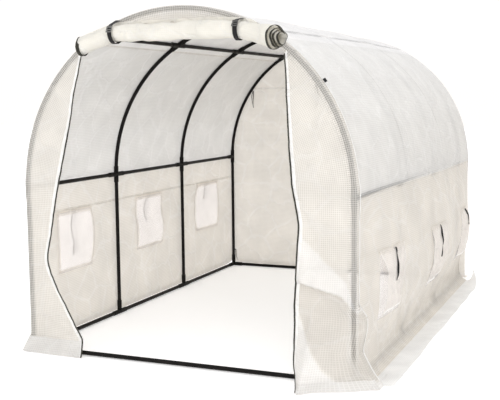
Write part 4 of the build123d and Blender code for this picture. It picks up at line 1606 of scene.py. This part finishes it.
# %% Make the window flaps and their hems
flap_hem_share = 0.005 / flap_half
flap_hem_lift = 0.0012
flap_columns = np.linspace(-1, 1, 33)
flap_rows = np.linspace(0, 1, 33)[:, None]
edge_run = np.linspace(0, 1, 40)[:, None]
edge_steps = 1 - flap_hem_share * np.linspace(0, 1, 3)
for side in side_signs:
    flap_grids = []
    flap_hem_grids = []
    for place, look in zip(bay_places, flap_looks[side]):
        flap_grids.append(flap_patch(side, place, look, flap_columns, flap_rows))
        edges = [(-edge_steps, edge_run), (edge_steps, edge_run), (2 * edge_run - 1, edge_steps)]
        for hem_along, hem_down in edges:
            flap_hem_grids.append(flap_patch(side, place, look, hem_along, hem_down, flap_hem_lift))
    join_grids(f"{side}_flaps", flap_grids, flap_sheet)
    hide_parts(f"{side}_window_flaps")
    join_grids(f"{side}_flap_hems", flap_hem_grids, hem_sheet)

# %% Make the ties of the flaps
tie_width = 0.010
tie_lift = 0.002
tie_turn = 0.9
tie_sway = 0.008
tie_start_share = 0.02
back_tie_share = 0.03
tie_columns = tie_width / flap_half * np.array([-0.5, 0, 0.5])
for side in side_signs:
    tie_grids = []
    for place, look in zip(bay_places, flap_looks[side]):
        seed, tie_place, tie_length = look[2:]
        tie_share = np.linspace(tie_start_share, tie_start_share + tie_length / flap_drop, 28)[:, None]
        strip = tie_place + tie_sway * np.sin(2.2 * math.pi * tie_share + seed) + tie_columns
        down = np.broadcast_to(tie_share, strip.shape)
        twist = tie_turn * np.abs(np.cos(2.4 * math.pi * tie_share + seed))
        turned = twist * (strip - strip.min(axis=1, keepdims=True)) * flap_half
        tie_flat = np.stack([strip * flap_half, tie_length * down], axis=-1)
        tie_grids.append((flap_points(side, place, look, strip, down, tie_lift + turned), tie_flat))
        tie_grids.append((flap_points(side, place, look, strip - back_tie_share, down, -tie_lift), tie_flat))
    join_grids(f"{side}_ties", tie_grids, webbing)
    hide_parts(f"{side}_window_ties")

# %% [markdown]
# ## Seams and stitches
# The strips of the cover are joined by taped seams along the walls and the roof, a ring seam joins the
# front sheet behind the first hoop, and a cross seam with its tape inside divides the rear sheet. Each
# tape has a row of stitches on either side. Seams could be painted on, but a strip with some rise of
# its own catches the light.

# %% Make the seams of the cover
tape_half = 0.008
tape_rise = 0.0008
tape_columns = tape_half * np.array([-1, -0.5, 0, 0.5, 1])
tape_rises = tape_rise * np.array([0.6, 1, 1.2, 1, 0.6])
stitch_columns = (1, 3)
stitch_pitch = 0.009
stitch_size = (0.0055, 0.0011, 0.0009)
ring_foot = 0.03
ring_overlap = 0.010
seam_step = 0.02
seam_grids = []
stitch_paths = []
seam_along = spaced([front_place + seam_setback, rear_place], seam_step)
for side, sign in side_signs.items():
    for arc in (roof_seam_arc, wall_arc(seam_levels[side])):
        arc_row, along_row = np.meshgrid(sign * arc + tape_columns, seam_along)
        points = cover_points(arc_row, along_row, lift=-tape_rises)
        seam_grids.append((points, np.stack([arc_row, along_row], axis=-1)))
        angle = min(arc / bow_radius, math.pi / 2)
        inside_way = (-sign * math.sin(angle), 0, -math.cos(angle))
        stitch_paths += [(points[:, column], inside_way) for column in stitch_columns]
ring_arcs = spaced([-wall_arc(ring_foot), wall_arc(ring_foot)], seam_step)
ring_inward = -front_wrap - front_strip + ring_overlap + tape_columns
ring_points = front_points(ring_arcs[:, None], ring_inward, lift=2 * tape_rise)
ring_flat = stacked(ring_arcs[:, None], ring_inward)
ring_angle = np.clip(ring_arcs / bow_radius, -math.pi / 2, math.pi / 2)
ring_out = stacked(np.sin(ring_angle), 0, np.cos(ring_angle))
stitch_paths += [(ring_points[:, column], ring_out) for column in stitch_columns]
cover_seams = join_grids("cover_seams", seam_grids, tape_sheet)
ring_seam = join_grids("ring_seam", [(ring_points, ring_flat)], hem_sheet)
cover_stitches = blocks_along("cover_stitches", stitch_paths, stitch_pitch, stitch_size, thread_white)
print("stitches:", len(cover_stitches.data.polygons) // block_faces)

# %% Make the rear seam
seam_reach = math.sqrt(bow_radius ** 2 - (rear_seam_level - spring_level) ** 2)
seam_across = np.linspace(-seam_reach, seam_reach, 90)
seam_x, seam_z = np.meshgrid(seam_across, rear_seam_level + tape_columns, indexing="ij")
seam_top = spring_level + np.sqrt(np.maximum(bow_radius ** 2 - seam_x ** 2, 0))
seam_y = rear_place + tube_cover + rear_softness(seam_x, seam_z, seam_top) - tape_rise
seam_points = np.stack([seam_x, seam_y, seam_z], axis=-1)
rear_seams = join_grids("rear_seams", [(seam_points, np.stack([seam_x, seam_z], axis=-1))], tape_sheet)
rear_paths = [(seam_points[:, column], (0, -1, 0)) for column in stitch_columns]
rear_stitches = blocks_along("rear_stitches", rear_paths, stitch_pitch, stitch_size, thread_white)
print("rear stitches:", len(rear_stitches.data.polygons) // block_faces)

# %% [markdown]
# ## Tie tapes
# The cover is held to the end hoops by black tapes that are sewn into it and knotted round the tube.
# From the doorway their ends can be seen hanging, and on the right of the front hoop the loop that a
# tape is sewn with comes through the ring seam. Two small functions make them all, a loop and a hanging
# end, because only lengths and leans differ.

# %% Shapes of a tie tape
tape_tie_width = 0.009
tape_tie_gap = 0.0006
end_width_share = 0.8
end_twist = 0.9
end_sway = 0.006
across_tape = np.linspace(-0.5, 0.5, 3)
hoop_side = np.array([0, 1, 0])


def tape_loop(centre, heading_tube, out_way):
    """A tape wound once round a tube."""
    turns = np.linspace(0, 2 * math.pi, 25)[:, None, None]
    steps = across_tape[None, :, None] * tape_tie_width
    ring = np.cos(turns) * out_way + np.sin(turns) * hoop_side
    points = centre + (tube_radius + tape_tie_gap) * ring + steps * heading_tube
    return points, stacked(steps[..., 0], turns[..., 0] * tube_radius)


def hanging_end(start, length, lean, phase):
    """A loose end that hangs down from a point, leaning a little and turning as it goes."""
    fall = np.linspace(0, 1, 20)[:, None]
    steps = across_tape * tape_tie_width * end_width_share
    twist = end_twist * np.sin(2.5 * fall + phase)
    sway = end_sway * np.sin(4 * fall + phase)
    points = stacked(
        start[0] + lean * fall + sway + steps * np.cos(twist),
        start[1] + 0.5 * sway + steps * np.sin(twist),
        start[2] - length * fall,
    )
    return points, stacked(steps, length * fall)


print(f"tie tape {1000 * tape_tie_width:.0f} mm wide")

# %% Make the tie tapes
tie_angle = math.radians(54)
foot_tie_level = 0.15
knot_gap = 0.002
knot_aside = 0.004
bow_ends = [(0.15, -0.012, 0), (0.11, 0.006, 1)]
foot_ends = [(0.10, -0.03, 2.0), (0.08, 0.004, 3.0)]
tape_grids = []
for place, inwards in ((front_place, 1), (rear_place, -1)):
    for sign in side_signs.values():
        out_way = np.array([sign * math.sin(tie_angle), 0, math.cos(tie_angle)])
        along_tube = np.array([sign * math.cos(tie_angle), 0, -math.sin(tie_angle)])
        centre = np.array([0, place, spring_level]) + bow_radius * out_way
        tape_grids.append(tape_loop(centre, along_tube, out_way))
        knot = centre - (tube_radius + knot_gap) * out_way + inwards * knot_aside * hoop_side
        for length, lean, phase in bow_ends:
            tape_grids.append(hanging_end(knot, length, lean * sign, place + phase))
for sign in side_signs.values():
    out_way = np.array([sign, 0, 0])
    centre = np.array([sign * bow_radius, rear_place, foot_tie_level])
    tape_grids.append(tape_loop(centre, np.array([0, 0, 1]), out_way))
    knot = centre - (tube_radius + knot_gap) * out_way
    for length, lean, phase in foot_ends:
        tape_grids.append(hanging_end(knot, length, lean * sign, phase))
print("tape loops and ends:", len(tape_grids))

# %% Add the loop that comes through the ring seam
tab_half_angle = 0.011
tab_start = -0.001
tab_end = 0.013
tab_lift = 0.0045
tab_slope = 0.9
tab_arc, tab_along = np.meshgrid(bow_radius * (tie_angle + np.linspace(-tab_half_angle, tab_half_angle, 5)),
                                 front_place + seam_setback + np.linspace(tab_start, tab_end, 4))
tab_points = cover_points(tab_arc, tab_along, lift=tab_lift + tab_slope * (tab_along - tab_along.min()))
tape_grids.append((tab_points, np.stack([tab_along, tab_arc], axis=-1)))
cover_ties = join_grids("cover_tie_tapes", tape_grids, webbing)
print("tie tape faces:", len(cover_ties.data.polygons))
